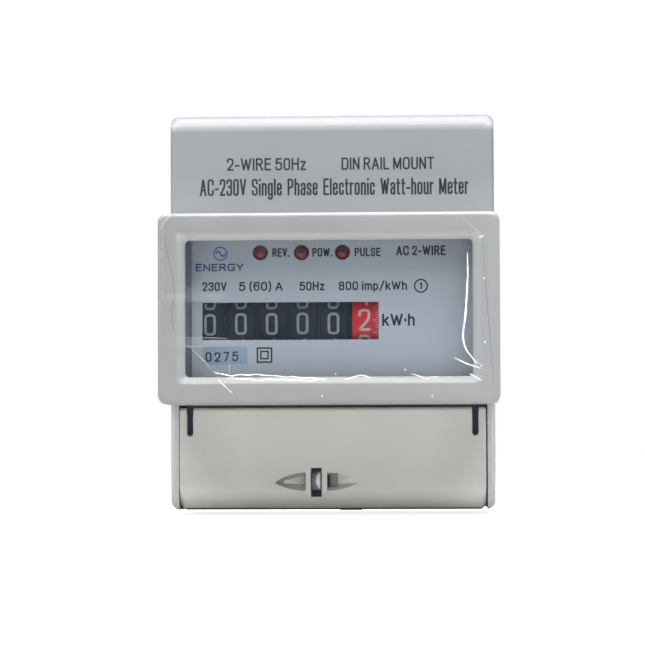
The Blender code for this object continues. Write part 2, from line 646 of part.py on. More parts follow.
def make_clamp(name, x, half_w, y, z, wire, screw):
    """A brass clamp with a wire bore from below and a screw hole from the front."""
    wire_radius, wire_y = wire
    screw_radius, screw_z = screw
    clamp = box(name, (x - half_w, x + half_w), y, z, BRASS)
    cut(clamp, rod(f"{name}_wire_bore", "Z", (x, wire_y), wire_radius, (z[0] - 1, z[1] - 3.0), count=20))
    cut(clamp, rod(f"{name}_screw_bore", "Y", (x, screw_z), screw_radius + GAP, (y[0] - 1, wire_y), count=16))


def make_screw(name, x, z, radius, head_radius, head_y, tip_y):
    """A slotted clamp screw: head towards the front, tip in the wire bore."""
    screw = rod(name, "Y", (x, z), radius, (head_y + 1.0, tip_y), STEEL, 16)
    fuse(screw, rod(f"{name}_head", "Y", (x, z), head_radius, (head_y, head_y + 2.2), count=20))
    cut(screw, box(f"{name}_slot", (x - head_radius - 1, x + head_radius + 1), (head_y - 1, head_y + 0.9),
                   (z - head_radius * 0.16, z + head_radius * 0.16)))
    move_origin(screw, (x, head_y, z))


def make_terminals():
    for i, x in enumerate(CLAMP_X):
        make_clamp(f"main_clamp_{i + 1}", x, CLAMP_HALF_W, CLAMP_Y, CLAMP_Z, (WIRE_RADIUS, WIRE_Y),
                   (SCREW_RADIUS, SCREW_Z))
        make_screw(f"main_screw_{i + 1}", x, SCREW_Z, SCREW_RADIUS, SCREW_HEAD_RADIUS, -29.5, -20.0)
    for i, x in enumerate(AUX_X):
        make_clamp(f"pulse_clamp_{i + 1}", x, AUX_HALF_W, (-26.0, -19.0), (-41.5, -27.0),
                   (AUX_WIRE_RADIUS, -22.0), (AUX_SCREW_RADIUS, AUX_SCREW_Z))
        make_screw(f"pulse_screw_{i + 1}", x, AUX_SCREW_Z, AUX_SCREW_RADIUS, 1.3, -29.0, -22.5)


def make_current_links():
    """The shunt joins the two live clamps, the link joins the two neutral clamps."""
    for name, x, mat in (("current_shunt", CLAMP_X[:2], COPPER), ("neutral_link", CLAMP_X[2:], BRASS)):
        strip = box(name, (x[0] - 4, x[1] + 4), (-23.0, -15.0), (CLAMP_Z[1] + 1.0, CLAMP_Z[1] + 2.2), mat)
        for i, leg in enumerate(x):
            fuse(strip, box(f"{name}_leg_{i}", (leg - 3, leg + 3), (-22.0, -16.0),
                            (CLAMP_Z[1] + GAP, CLAMP_Z[1] + 1.5)))


# ---------------------------------------------------------------- terminal cover

def cover_outline():
    """Side profile: front wall, rounded lower edge and the foot under the terminals."""
    inner_radius = COVER_BOTTOM_RADIUS - WALL
    corner = (SHOULDER_Y + COVER_BOTTOM_RADIUS, -BODY_HALF_H + COVER_BOTTOM_RADIUS)
    outline = arc((SHOULDER_Y + 0.9, COVER_TOP_Z - 0.9), 0.9, 90, 180, 4)
    outline += arc(corner, COVER_BOTTOM_RADIUS, 180, 270, 8)
    outline += [(COVER_FOOT_Y, -BODY_HALF_H), (COVER_FOOT_Y, -BODY_HALF_H + WALL)]
    outline += arc(corner, inner_radius, 270, 180, 6)
    outline += [(SHOULDER_Y + WALL, COVER_TOP_Z)]
    return outline


def seal_scoop(name, side):
    """A pointed scoop whose floor deepens from its outer tip to the wall beside the slot."""
    length, height, depth = SEAL_SCOOP
    near = SEAL_X + side * (SEAL_SLOT_HALF[0] + SEAL_SCOOP_GAP)
    bm = bmesh.new()
    steps = 6
    front = SHOULDER_Y - 1.0
    edge = [(near + side * length * i / steps, height / 2 * math.cos(math.pi / 2 * i / steps) ** 0.8)
            for i in range(steps)]
    tip = (near + side * length, 0.0)
    outline = [(x, -h) for x, h in edge] + [tip] + [(x, h) for x, h in reversed(edge)]
    top = [bm.verts.new((x, front, SEAL_Z + h)) for x, h in outline]
    floor = [bm.verts.new((x, SHOULDER_Y - 0.2 + (depth + 0.2) * (1 - abs(x - near) / length), SEAL_Z + h))
             for x, h in outline]
    bm.faces.new(top)
    bm.faces.new(floor)
    for i in range(len(top)):
        j = (i + 1) % len(top)
        bm.faces.new((top[i], top[j], floor[j], floor[i]))
    return finish_mesh(name, bm)


def make_terminal_cover():
    cover = prism("terminal_cover", cover_outline(), "X", (-COVER_HALF_W, COVER_HALF_W), WARM_GREY)
    length, height, depth = SEAL_SCOOP
    reach = SEAL_SLOT_HALF[0] + SEAL_SCOOP_GAP + length
    fuse(cover, box("seal_boss", (SEAL_X - reach, SEAL_X + reach), (SHOULDER_Y + 1, SHOULDER_Y + depth + 1.6),
                    (SEAL_Z - SEAL_SLOT_HALF[1] - 0.4, SEAL_Z + SEAL_SLOT_HALF[1] + 1.2)))
    half_w, half_h = SEAL_SLOT_HALF
    cut(cover, box("seal_slot", (SEAL_X - half_w, SEAL_X + half_w), (SHOULDER_Y - 1, SHOULDER_Y + 8),
                   (SEAL_Z - half_h, SEAL_Z + half_h)))
    cut(cover, seal_scoop("scoop_left", -1), seal_scoop("scoop_right", 1))
    cut(cover, rod("seal_wire_hole", "X", (SEAL_HOLE_Y, SEAL_Z), 0.6, (SEAL_X - 4, SEAL_X + 4)))
    for side in (-1, 1):
        x = side * EAR_SLOT_X
        slot = [(x + EAR_SLOT_HALF_W, COVER_TOP_Z + 1), (x - EAR_SLOT_HALF_W, COVER_TOP_Z + 1)]
        slot += arc((x, EAR_SLOT_BOTTOM_Z + EAR_SLOT_HALF_W), EAR_SLOT_HALF_W, 180, 360, 6)
        cut(cover, prism(f"ear_slot_{side}", slot, "Y", (SHOULDER_Y - 1, SHOULDER_Y + 6)))
        ear = sorted((side * (EAR_SLOT_X + EAR_SLOT_HALF_W), side * COVER_HALF_W))
        fuse(cover, rod(f"ear_boss_{side}", "X", (PIVOT_Y, PIVOT_Z), 2.0, ear, count=20))
        pin = sorted((side * (COVER_HALF_W - 0.5), side * (COVER_HALF_W + 1.1)))
        fuse(cover, rod(f"hinge_pin_{side}", "X", (PIVOT_Y, PIVOT_Z), PIN_RADIUS, pin, count=20))
    notch_z = (-BODY_HALF_H - 1, -42.0)
    for i, x in enumerate(CLAMP_X):
        cut(cover, box(f"wire_notch_{i}", (x - 4.2, x + 4.2), (-24.0, COVER_FOOT_Y + 1), notch_z))
    cut(cover, box("aux_notch", (AUX_X[0] - 2, AUX_X[1] + 2.5), (-24.5, COVER_FOOT_Y + 1), notch_z))
    move_origin(cover, (0, PIVOT_Y, PIVOT_Z))


# ---------------------------------------------------------------- assembly

def build_meter():
    make_rear_base()
    make_front_housing()
    make_front_bezel()
    make_window_lens()
    make_protective_film()
    make_nameplate()
    make_housing_screws()
    make_rail_latch()
    make_latch_spring()
    make_register_frame()
    make_register_shafts()
    make_digit_drums()
    make_transfer_pinions()
    make_stepper_motor()
    make_main_board()
    make_components()
    make_indicators()
    make_terminal_block()
    make_terminals()
    make_current_links()
    make_terminal_cover()


build_meter()
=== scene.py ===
"""Looks of the DIN-rail watt-hour meter: finished shells, printed plate, number drums, film and studio."""
import json
import math

import bmesh
import bpy
from mathutils import Matrix, Vector, noise


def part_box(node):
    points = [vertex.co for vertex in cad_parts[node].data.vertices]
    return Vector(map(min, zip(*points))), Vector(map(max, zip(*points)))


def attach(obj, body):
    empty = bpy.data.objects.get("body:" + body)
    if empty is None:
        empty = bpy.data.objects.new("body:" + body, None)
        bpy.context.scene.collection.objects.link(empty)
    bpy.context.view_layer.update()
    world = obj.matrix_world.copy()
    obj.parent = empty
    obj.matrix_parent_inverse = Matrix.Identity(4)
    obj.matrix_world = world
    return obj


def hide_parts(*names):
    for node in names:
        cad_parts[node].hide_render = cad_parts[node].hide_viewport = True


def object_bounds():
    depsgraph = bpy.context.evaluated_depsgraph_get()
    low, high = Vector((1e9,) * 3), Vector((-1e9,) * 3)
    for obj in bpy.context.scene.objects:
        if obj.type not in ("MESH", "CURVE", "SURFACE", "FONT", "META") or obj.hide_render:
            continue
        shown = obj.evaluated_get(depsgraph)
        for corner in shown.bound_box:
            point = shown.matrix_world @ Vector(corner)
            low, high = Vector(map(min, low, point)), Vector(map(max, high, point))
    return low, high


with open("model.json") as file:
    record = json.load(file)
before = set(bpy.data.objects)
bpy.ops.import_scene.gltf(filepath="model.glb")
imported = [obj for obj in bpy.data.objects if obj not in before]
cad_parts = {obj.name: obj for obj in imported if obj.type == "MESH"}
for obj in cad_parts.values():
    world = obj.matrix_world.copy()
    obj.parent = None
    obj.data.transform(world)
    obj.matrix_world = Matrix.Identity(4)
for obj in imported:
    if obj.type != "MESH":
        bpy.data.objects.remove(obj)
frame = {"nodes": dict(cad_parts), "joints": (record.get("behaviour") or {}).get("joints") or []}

CAD_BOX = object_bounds()
MM = 0.001
HOUSING = "housing"


def box_mm(node):
    """Lowest and highest corners of a CAD node in millimetres."""
    low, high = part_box(node)
    return Vector(low) / MM, Vector(high) / MM


# ------------------------------------------------------------------ colours and node helpers

def srgb(red, green, blue):
    """Linear colour from display values of 0 to 255."""
    def linear(value):
        value /= 255
        return value / 12.92 if value <= 0.04045 else ((value + 0.055) / 1.055) ** 2.4
    return linear(red), linear(green), linear(blue)


class Surface:
    """A node material being built around one Principled shader."""

    def __init__(self, name, colour, roughness, metallic=0.0):
        self.material = bpy.data.materials.new(name)
        self.material.use_nodes = True
        self.tree = self.material.node_tree
        self.shader = self.tree.nodes["Principled BSDF"]
        self.output = self.tree.nodes["Material Output"]
        self.colour = colour
        self.shader.inputs["Base Color"].default_value = (*colour, 1)
        self.shader.inputs["Roughness"].default_value = roughness
        self.shader.inputs["Metallic"].default_value = metallic
        self.place = self.node("ShaderNodeTexCoord").outputs["Object"]

    def node(self, kind, **settings):
        made = self.tree.nodes.new(kind)
        for key, value in settings.items():
            setattr(made, key, value)
        return made

    def feed(self, socket, value):
        if isinstance(value, bpy.types.NodeSocket):
            self.tree.links.new(value, socket)
        else:
            socket.default_value = value

    def noise(self, scale, detail=2.0, stretch=None):
        """Noise with features 1/scale metres wide; stretch scales the three axes."""
        place = self.place
        if stretch:
            mapping = self.node("ShaderNodeMapping")
            self.feed(mapping.inputs["Vector"], place)
            mapping.inputs["Scale"].default_value = stretch
            place = mapping.outputs["Vector"]
        made = self.node("ShaderNodeTexNoise")
        self.feed(made.inputs["Vector"], place)
        made.inputs["Scale"].default_value = scale
        made.inputs["Detail"].default_value = detail
        return made.outputs["Fac"]

    def ramp(self, value, low, high, out_low=0.0, out_high=1.0):
        made = self.node("ShaderNodeMapRange")
        self.feed(made.inputs["Value"], value)
        for key, number in (("From Min", low), ("From Max", high), ("To Min", out_low), ("To Max", out_high)):
            made.inputs[key].default_value = number
        return made.outputs["Result"]

    def times(self, first, second, operation="MULTIPLY"):
        made = self.node("ShaderNodeMath", operation=operation)
        self.feed(made.inputs[0], first)
        self.feed(made.inputs[1], second)
        return made.outputs[0]

    def mix(self, factor, first, second):
        made = self.node("ShaderNodeMix", data_type="RGBA")
        self.feed(made.inputs["Factor"], factor)
        for socket, value in zip((made.inputs[6], made.inputs[7]), (first, second)):
            self.feed(socket, value if isinstance(value, bpy.types.NodeSocket) else (*value, 1))
        return made.outputs[2]

    def along(self, axis):
        """Object coordinate along one axis, in millimetres."""
        parts = self.node("ShaderNodeSeparateXYZ")
        self.feed(parts.inputs[0], self.place)
        return self.times(parts.outputs[axis], 1 / MM)

    def size(self, value):
        """A value without its sign."""
        return self.times(value, 0.0, "ABSOLUTE")

    def within(self, value, low, high, soft):
        """1 between two values and 0 outside them, with soft edges."""
        return self.times(self.ramp(value, low - soft, low + soft),
                          self.ramp(value, high - soft, high + soft, 1, 0))

    def paint(self, factor, colour):
        """Lay another colour over the base colour where the factor is 1."""
        base = self.shader.inputs["Base Color"]
        self.feed(base, self.mix(factor, base.links[0].from_socket, colour))

    def glow(self, colour):
        """Painted light: the surface glows faintly itself, as fill for recesses that hardly any light
        reaches.
        """
        self.shader.inputs["Emission Color"].default_value = (*colour, 1)
        self.shader.inputs["Emission Strength"].default_value = 1.0

    def tint(self, value, amount):
        """Let a 0 to 1 value lighten and darken the base colour by an amount either way."""
        dark = [c * (1 - amount) for c in self.colour]
        light = [min(1.0, c * (1 + amount)) for c in self.colour]
        self.feed(self.shader.inputs["Base Color"], self.mix(value, dark, light))

    def bump(self, height, distance):
        made = self.node("ShaderNodeBump")
        made.inputs["Strength"].default_value = 1.0
        made.inputs["Distance"].default_value = distance
        self.feed(made.inputs["Height"], height)
        self.feed(self.shader.inputs["Normal"], made.outputs["Normal"])

    def rough(self, value, low, high):
        self.feed(self.shader.inputs["Roughness"], self.ramp(value, 0.3, 0.7, low, high))


def moulding(name, colour, roughness, grain=0.012, cloud=0.03, gloss=0.5):
    """Injection-moulded plastic: a fine spark-eroded grain and a slow cloud in the pigment."""
    s = Surface(name, colour, roughness)
    s.tint(s.ramp(s.noise(45, 3), 0.3, 0.7), cloud)
    s.rough(s.noise(160, 4), roughness - 0.06, roughness + 0.07)
    height = s.times(s.noise(4200, 3), s.times(s.noise(900, 2), 0.4), "ADD")
    s.bump(height, grain * MM)
    s.shader.inputs["Specular IOR Level"].default_value = gloss
    return s


def moulded(*settings):
    return moulding(*settings).material


def metal(name, colour, roughness, brush=(1, 1, 14)):
    """Plated or machined metal with fine directional scratches."""
    s = Surface(name, colour, roughness, 1.0)
    s.tint(s.ramp(s.noise(260, 3), 0.3, 0.7), 0.08)
    lines = s.noise(1500, 4, brush)
    s.rough(lines, roughness - 0.08, roughness + 0.12)
    s.bump(lines, 0.006 * MM)
    return s.material


def clear_sheet(name, tint, roughness, ior, haze, bands=()):
    """A thin clear sheet: straight-through light, a Fresnel reflection, slight haze and milkier bands."""
    s = Surface(name, tint, roughness)
    s.shader.inputs["IOR"].default_value = ior
    clear = s.node("ShaderNodeBsdfTransparent")
    clear.inputs["Color"].default_value = (*tint, 1)
    glossy = s.node("ShaderNodeBsdfGlossy")
    glossy.inputs["Roughness"].default_value = roughness
    grazing = s.node("ShaderNodeFresnel")
    grazing.inputs["IOR"].default_value = ior
    outside = s.times(1.0, s.node("ShaderNodeNewGeometry").outputs["Backfacing"], "SUBTRACT")
    mixer = s.node("ShaderNodeMixShader")
    s.feed(mixer.inputs["Fac"], s.times(grazing.outputs["Fac"], outside))
    s.tree.links.new(clear.outputs[0], mixer.inputs[1])
    s.tree.links.new(glossy.outputs[0], mixer.inputs[2])
    milk = s.ramp(s.noise(90, 4), 0.35, 0.75, haze * 0.4, haze)
    for x_span, z_span, weight in bands:
        patch = s.times(s.within(s.along(0), *x_span, 1.2), s.within(s.along(2), *z_span, 0.35))
        uneven = s.ramp(s.noise(260, 3, (1, 1, 0.5)), 0.3, 0.7, 0.3 * weight, weight)
        milk = s.times(milk, s.times(patch, uneven), "ADD")
    cover = s.node("ShaderNodeMixShader")
    s.feed(cover.inputs["Fac"], milk)
    s.tree.links.new(mixer.outputs[0], cover.inputs[1])
    s.tree.links.new(s.shader.outputs[0], cover.inputs[2])
    s.tree.links.new(cover.outputs[0], s.output.inputs["Surface"])
    return s.material


# ------------------------------------------------------------------ mesh helpers

def smooth(mesh, angle=32):
    mesh.shade_smooth()
    mesh.set_sharp_from_angle(angle=math.radians(angle))


def finish_mesh(name, bm, scale=MM):
    """Turn a bmesh drawn in millimetres into an object."""
    bmesh.ops.recalc_face_normals(bm, faces=bm.faces)
    bmesh.ops.scale(bm, vec=(scale,) * 3, verts=bm.verts)
    mesh = bpy.data.meshes.new(name)
    bm.to_mesh(mesh)
    bm.free()
    smooth(mesh)
    item = bpy.data.objects.new(name, mesh)
    bpy.context.scene.collection.objects.link(item)
    return item


def bridge(bm, first, second):
    for i in range(len(first)):
        j = (i + 1) % len(first)
        bm.faces.new((first[i], first[j], second[j], second[i]))


def loft(name, loops, ring=False):
    """Join loops of points; ends are capped, or joined to each other when ring is set."""
    bm = bmesh.new()
    rows = [[bm.verts.new(point) for point in loop] for loop in loops]
    for first, second in zip(rows, rows[1:]):
        bridge(bm, first, second)
    if ring:
        bridge(bm, rows[-1], rows[0])
    else:
        bm.faces.new(rows[0])
        bm.faces.new(rows[-1])
    return finish_mesh(name, bm)


def arc(centre, radius, start, end, steps):
    angles = [math.radians(start + (end - start) * i / steps) for i in range(steps + 1)]
    return [(centre[0] + radius * math.cos(t), centre[1] + radius * math.sin(t)) for t in angles]


def rounded(low, high, radius, steps=6):
    (a0, b0), (a1, b1) = low, high
    corners = ((a1, b1, -1, -1, 0), (a0, b1, 1, -1, 90), (a0, b0, 1, 1, 180), (a1, b0, -1, 1, 270))
    return [
        point
        for a, b, sa, sb, start in corners
        for point in arc((a + sa * radius, b + sb * radius), radius, start, start + 90, steps)
    ]


def facing(outline, y):
    """Lay a flat outline of (x, z) points on a plane that faces the front."""
    return [(x, y, z) for x, z in outline]


def block(name, x, y, z):
    loops = [facing([(x[0], z[0]), (x[1], z[0]), (x[1], z[1]), (x[0], z[1])], depth) for depth in y]
    return loft(name, loops)


PLACE = {
    "X": lambda a, b, along: (along, a, b),
    "Y": lambda a, b, along: (a, along, b),
    "Z": lambda a, b, along: (a, b, along),
}


def circle(centre, radius, count):
    return arc(centre, radius, 0, 360 * (count - 1) / count, count - 1)


def prism(name, axis, outline, span):
    return loft(name, [[PLACE[axis](a, b, along) for a, b in outline] for along in span])


def rod(name, axis, centre, radius, span, count=48):
    return prism(name, axis, circle(centre, radius, count), span)


def lathe(name, axis, centre, profile, count=64, ring=False):
    """Turn a profile of (position along axis, radius) around an axis."""
    place = PLACE[axis]
    loops = [[place(a, b, along) for a, b in circle(centre, radius, count)] for along, radius in profile]
    return loft(name, loops, ring)


def bake(item):
    """Apply an object's modifiers."""
    graph = bpy.context.evaluated_depsgraph_get()
    mesh = bpy.data.meshes.new_from_object(item.evaluated_get(graph))
    item.modifiers.clear()
    item.data = mesh
    return item


def ease(item, width):
    """Round an item's sharp edges."""
    step = item.modifiers.new("ease", "BEVEL")
    step.width = width * MM
    step.segments = 3
    step.limit_method = "ANGLE"
    step.angle_limit = math.radians(30)
    bake(item)
    smooth(item.data)
    return item


def level(item):
    """Let large flat faces set the normals, so that cuts leave no shading streaks on them."""
    step = item.modifiers.new("level", "WEIGHTED_NORMAL")
    step.keep_sharp = True
    step.weight = 100
    return bake(item)


def combine(item, operation, *tools):
    """Cut tools out of an item, or fuse them to it, then delete the tools."""
    for tool in tools:
        step = item.modifiers.new("combine", "BOOLEAN")
        step.operation = operation
        step.solver = "EXACT"
        step.object = tool
    bake(item)
    for tool in tools:
        bpy.data.objects.remove(tool, do_unlink=True)
    smooth(item.data)
    return item


def carve(item, *tools):
    return combine(item, "DIFFERENCE", *tools)


def fuse(item, *tools):
    return combine(item, "UNION", *tools)


def coat(item, material):
    """Make a material the item's only one."""
    item.data.materials.clear()
    item.data.materials.append(material)
    for face in item.data.polygons:
        face.material_index = 0


def dress(item, material, body=HOUSING, nodes=()):
    """Give a piece its only material, attach it to its body and hide the CAD nodes it stands for."""
    coat(item, material)
    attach(item, body)
    if nodes:
        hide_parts(*nodes)
    return item


# ------------------------------------------------------------------ materials

BEVEL_OUT_W, BEVEL_OUT_H = 33.8, 16.7
SEAL_X, SEAL_Z = -3.7, -38.8
LUG_RISE = 0.2               # the lug stands this much above the middle of its slot
COVER_FRONT = box_mm("terminal_cover")[0].y


def tier_plastic():
    """Front housing: a painted highlight along its crest and painted shade above it, its front face painted
    paler low down and towards the cheeks as painted light.
    """
    s = moulding("tier_plastic", TIER_COLOUR, 0.46)
    y, z = s.along(1), s.along(2)
    face = s.ramp(y, COVER_FRONT + 6.0, COVER_FRONT + 1.0)
    crest = s.ramp(y, COVER_FRONT + 7.0, COVER_FRONT + 2.4)
    # painted highlight on the lower part of the top fillet
    s.paint(s.times(crest, s.ramp(z, 41.2, 42.8)), CREST_HIGHLIGHT)
    # painted shade on the upper part of the fillet and the top just behind it
    s.paint(s.times(crest, s.ramp(z, 42.8, 44.4)), TOP_SHADE)
    # painted light bounced up from the bezel: the tier paler just above it
    s.paint(s.times(face, s.ramp(z, 31.0, 22.5)), TIER_BOUNCE_LIGHT)
    # painted light: the lower front face and cheeks paler, as if lit from below
    s.paint(s.times(face, s.ramp(z, 10.0, -20.5)), CHEEK_LIGHT)
    return s.material


def bezel_plastic():
    """Bezel: painted light, with its right side paler, the bevel round the window lighter and the bevel's
    upper band cream.
    """
    s = moulding("bezel_plastic", BEZEL_COLOUR, 0.36, 0.008)
    x, z = s.along(0), s.along(2)
    # painted light: the right side paler
    s.paint(s.ramp(x, 0.0, 37.0), BEZEL_RIGHT_LIGHT)
    bevel = s.times(s.ramp(s.size(x), BEVEL_OUT_W - 0.5, BEVEL_OUT_W + 0.3, 1, 0),
                    s.ramp(s.size(z), BEVEL_OUT_H - 0.5, BEVEL_OUT_H + 0.3, 1, 0))
    # painted light: the bevel round the window lighter than the face
    s.paint(bevel, BEVEL_LIGHT)
    # painted light: the downward-facing upper bevel cream, as if lit from below
    s.paint(s.times(bevel, s.ramp(z, 14.4, 15.8)), BEVEL_TOP_LIGHT)
    return s.material


def cover_plastic():
    """Terminal cover: painted shade on the walls of the seal scoops, towards its sides, on its underside and
    along the lower edge.
    """
    s = moulding("cover_plastic", COVER_COLOUR, 0.42)
    x, y, z = (s.along(axis) for axis in range(3))
    parts = s.node("ShaderNodeSeparateXYZ")
    s.feed(parts.inputs[0], s.node("ShaderNodeTexCoord").outputs["Normal"])
    reach = s.size(s.times(x, SEAL_X, "SUBTRACT"))
    beside = s.times(s.within(reach, 2.38, 10.2, 0.02), s.within(z, SEAL_Z - 2.1, SEAL_Z + 2.5, 0.02))
    pocket = s.times(beside, s.ramp(y, COVER_FRONT + 0.12, COVER_FRONT + 0.22))
    left = s.ramp(x, SEAL_X - 0.1, SEAL_X + 0.1, 1, 0)
    lower = s.ramp(parts.outputs[2], 0.1, 0.3)
    upper = s.times(s.ramp(parts.outputs[2], -0.1, -0.3), left)
    end = s.ramp(s.size(parts.outputs[0]), 0.36, 0.5)
    tip = s.times(s.ramp(reach, 7.2, 7.5), left)
    wall = s.times(s.times(lower, upper, "MAXIMUM"), s.times(end, tip, "MAXIMUM"), "MAXIMUM")
    # painted shade towards the lower sides
    s.paint(s.times(s.ramp(s.size(x), 21.0, 34.0), s.ramp(z, -41.5, -39.0)), SIDE_SHADE)
    # painted shade on the sloped walls of the seal scoops
    s.paint(s.times(pocket, wall), SCOOP_SHADE)
    # painted shade, deeper towards the tip of the left scoop
    s.paint(s.times(s.times(pocket, wall), s.times(left, s.ramp(reach, 4.5, 9.5))), TIP_SHADE)
    # painted shade on the underside
    s.paint(s.ramp(z, -44.8, -44.96), UNDER_SHADE)
    # painted shadow: a dark line along the lower edge
    s.paint(s.within(z, -44.9, -44.6, 0.05), EDGE_SHADOW)
    return s.material


def lug_plastic():
    """Sealing lug: a painted highlight on its rounded flank, painted shade of the slot on the rest and a
    painted shadow at its foot.
    """
    # painted shade: the base colour is the lug's grey in the shade of the slot
    s = moulding("lug_plastic", srgb(122, 122, 120), 0.45)
    flank = s.node("ShaderNodeVectorMath", operation="DISTANCE")
    flat = s.node("ShaderNodeCombineXYZ")
    s.feed(flat.inputs[0], s.along(0))
    s.feed(flat.inputs[2], s.along(2))
    s.feed(flank.inputs[0], flat.outputs[0])
    flank.inputs[1].default_value = (SEAL_X + 2.83, 0, SEAL_Z + 0.5)
    # painted highlight on the rounded flank
    s.paint(s.ramp(flank.outputs["Value"], 2.8, 3.0, 1, 0), srgb(226, 225, 216))
    # painted shadow at the foot
    s.paint(s.ramp(s.along(2), SEAL_Z - 1.6, SEAL_Z - 1.9), srgb(44, 46, 58))
    return s.material


# Painted light and shade: crest highlight, top shade, bounce light above the bezel, light on the cheeks,
# light on the bezel's right side and bevel, and shade on the cover's sides, scoops, tip, underside and lower
# edge.
TIER_COLOUR, TIER_BOUNCE_LIGHT = srgb(143, 147, 150), srgb(159, 163, 166)
CREST_HIGHLIGHT, TOP_SHADE, CHEEK_LIGHT = srgb(190, 190, 194), srgb(128, 128, 132), srgb(190, 190, 190)
BEZEL_COLOUR, BEZEL_RIGHT_LIGHT = srgb(155, 154, 152), srgb(163, 162, 161)
BEVEL_LIGHT, BEVEL_TOP_LIGHT = srgb(170, 170, 168), srgb(192, 185, 178)
COVER_COLOUR, SIDE_SHADE = srgb(219, 218, 212), srgb(200, 199, 194)
UNDER_SHADE, EDGE_SHADOW = srgb(158, 157, 154), srgb(104, 104, 110)
SCOOP_SHADE, TIP_SHADE = srgb(176, 174, 173), srgb(116, 115, 112)
TIER_GREY = tier_plastic()
BASE_GREY = moulded("base_plastic", srgb(152, 155, 156), 0.5)
BEZEL_GREY = bezel_plastic()
COVER_GREY = cover_plastic()
LUG_GREY = lug_plastic()
DARK_SURFACE = moulding("dark_plastic", srgb(64, 68, 78), 0.5, 0.015, 0.08)
# painted light: a faint glow lifts the dark plastic where it lies in shade
DARK_SURFACE.glow(srgb(38, 40, 52))
DARK = DARK_SURFACE.material
CARRIER = moulded("carrier_plastic", srgb(136, 143, 154), 0.5, 0.01, 0.05)
DRUM_SURFACE = moulding("drum_black", srgb(12, 17, 22), 0.6, 0.003, 0.1, 0.15)
# painted light: a faint glow lifts the drums' recesses
DRUM_SURFACE.glow(srgb(20, 30, 39))
DRUM_BLACK = DRUM_SURFACE.material
DRUM_RED = moulded("drum_red", srgb(200, 30, 42), 0.5, 0.006, 0.06, 0.3)
DIGIT_INK = moulded("digit_ink", srgb(130, 139, 144), 0.6, 0.004, 0.05)
FAST_INK = moulded("fast_ink", srgb(182, 170, 168), 0.6, 0.004, 0.05)
PRINT_INK = moulded("print_ink", srgb(26, 29, 40), 0.5, 0.004, 0.12, 0.3)
TIER_INK = moulded("tier_ink", srgb(50, 53, 58), 0.5, 0.004, 0.12, 0.3)
EMBLEM_BLUE = moulded("emblem_blue", srgb(44, 76, 116), 0.5, 0.004, 0.08, 0.3)
EMBLEM_TEAL = moulded("emblem_teal", srgb(52, 122, 152), 0.5, 0.004, 0.08, 0.3)
PLATE_PRINT = moulded("plate_print", srgb(174, 178, 180), 0.42, 0.004, 0.025)
STICKER = moulded("sticker_paper", srgb(143, 156, 168), 0.6, 0.004, 0.04)
NYLON = moulded("nylon", srgb(226, 220, 204), 0.5, 0.01, 0.05)
BOARD = moulded("board_mask", srgb(26, 96, 52), 0.4, 0.01, 0.12)
BLUE = moulded("blue_epoxy", srgb(36, 72, 150), 0.3, 0.03, 0.1)
YELLOW = moulded("yellow_case", srgb(214, 178, 60), 0.4, 0.01, 0.06)
ZINC = metal("zinc_plate", srgb(198, 198, 192), 0.32)
BRASS = metal("brass_metal", srgb(205, 170, 96), 0.3)
COPPER = metal("copper_metal", srgb(206, 132, 92), 0.32, (1, 1, 30))


def indicator_spots():
    spots = []
    for number in (1, 2, 3):
        low, high = box_mm(f"indicator_{number}")
        spots.append(((low.x + high.x) / 2, (low.z + high.z) / 2))
    return spots


def indicator_material():
    """Tinted resin with a painted pale reflection towards the top and a few painted glints."""
    s = Surface("indicator_resin", srgb(104, 18, 28), 0.25)
    s.tint(s.ramp(s.noise(1200, 2), 0.3, 0.7), 0.25)
    middle = indicator_spots()[0][1]
    # painted reflection: paler towards the top
    s.paint(s.ramp(s.along(2), middle + 0.1, middle + 1.5, 0.0, 0.55), srgb(140, 112, 118))
    # painted glints
    s.paint(s.ramp(s.noise(1900, 1), 0.66, 0.72, 0.0, 0.4), srgb(200, 130, 120))
    s.shader.inputs["Coat Weight"].default_value = 0.2
    s.shader.inputs["Coat Roughness"].default_value = 0.15
    return s.material


INDICATOR = indicator_material()
LENS = clear_sheet("window_clear", (0.97, 0.98, 1.0), 0.04, 1.26, 0.002)
HAZE_BANDS = (               # x span, z span and strength
    ((-35.5, -23.5), (1.6, 3.4), 0.05),
    ((-34.5, -22.5), (-8.2, -6.8), 0.05),
    ((-32.0, -27.0), (3.6, 4.8), 0.03),
)
FILM = clear_sheet("film_clear", (0.98, 0.99, 1.0), 0.08, 1.2, 0.008, HAZE_BANDS)


def crease_material(name, colour, glow):
    """Painted highlight, sheen or shade line along a crease in the film; it also glows a little in patches,
    by its glow amount, as painted light.
    """
    s = Surface(name, colour, 0.25)
    s.shader.inputs["Emission Color"].default_value = (1, 1, 1, 1)
    s.feed(s.shader.inputs["Emission Strength"], s.ramp(s.noise(420, 3), 0.3, 0.65, 0.0, glow))
    return s.material


# painted highlights, painted sheen and painted shade lines on the film's creases
CREASE_HIGHLIGHT = crease_material("crease_highlight", (0.8, 0.82, 0.86), 0.45)
CREASE_SHEEN = crease_material("crease_sheen", (0.46, 0.47, 0.49), 0.08)
CREASE_SHADE = crease_material("crease_shade", srgb(110, 112, 116), 0.0)


# ------------------------------------------------------------------ bezel

NOSE_LOW, NOSE_HIGH = box_mm("front_bezel")
NOSE_W, NOSE_H = NOSE_HIGH.x, NOSE_HIGH.z
NOSE_FRONT = NOSE_LOW.y
NOSE_BACK = NOSE_HIGH.y
WINDOW_W, WINDOW_H = 32.0, 15.25
NOSE_CORNER = 2.0
NOSE_EDGE = 1.0
BEVEL_DEPTH = 1.3


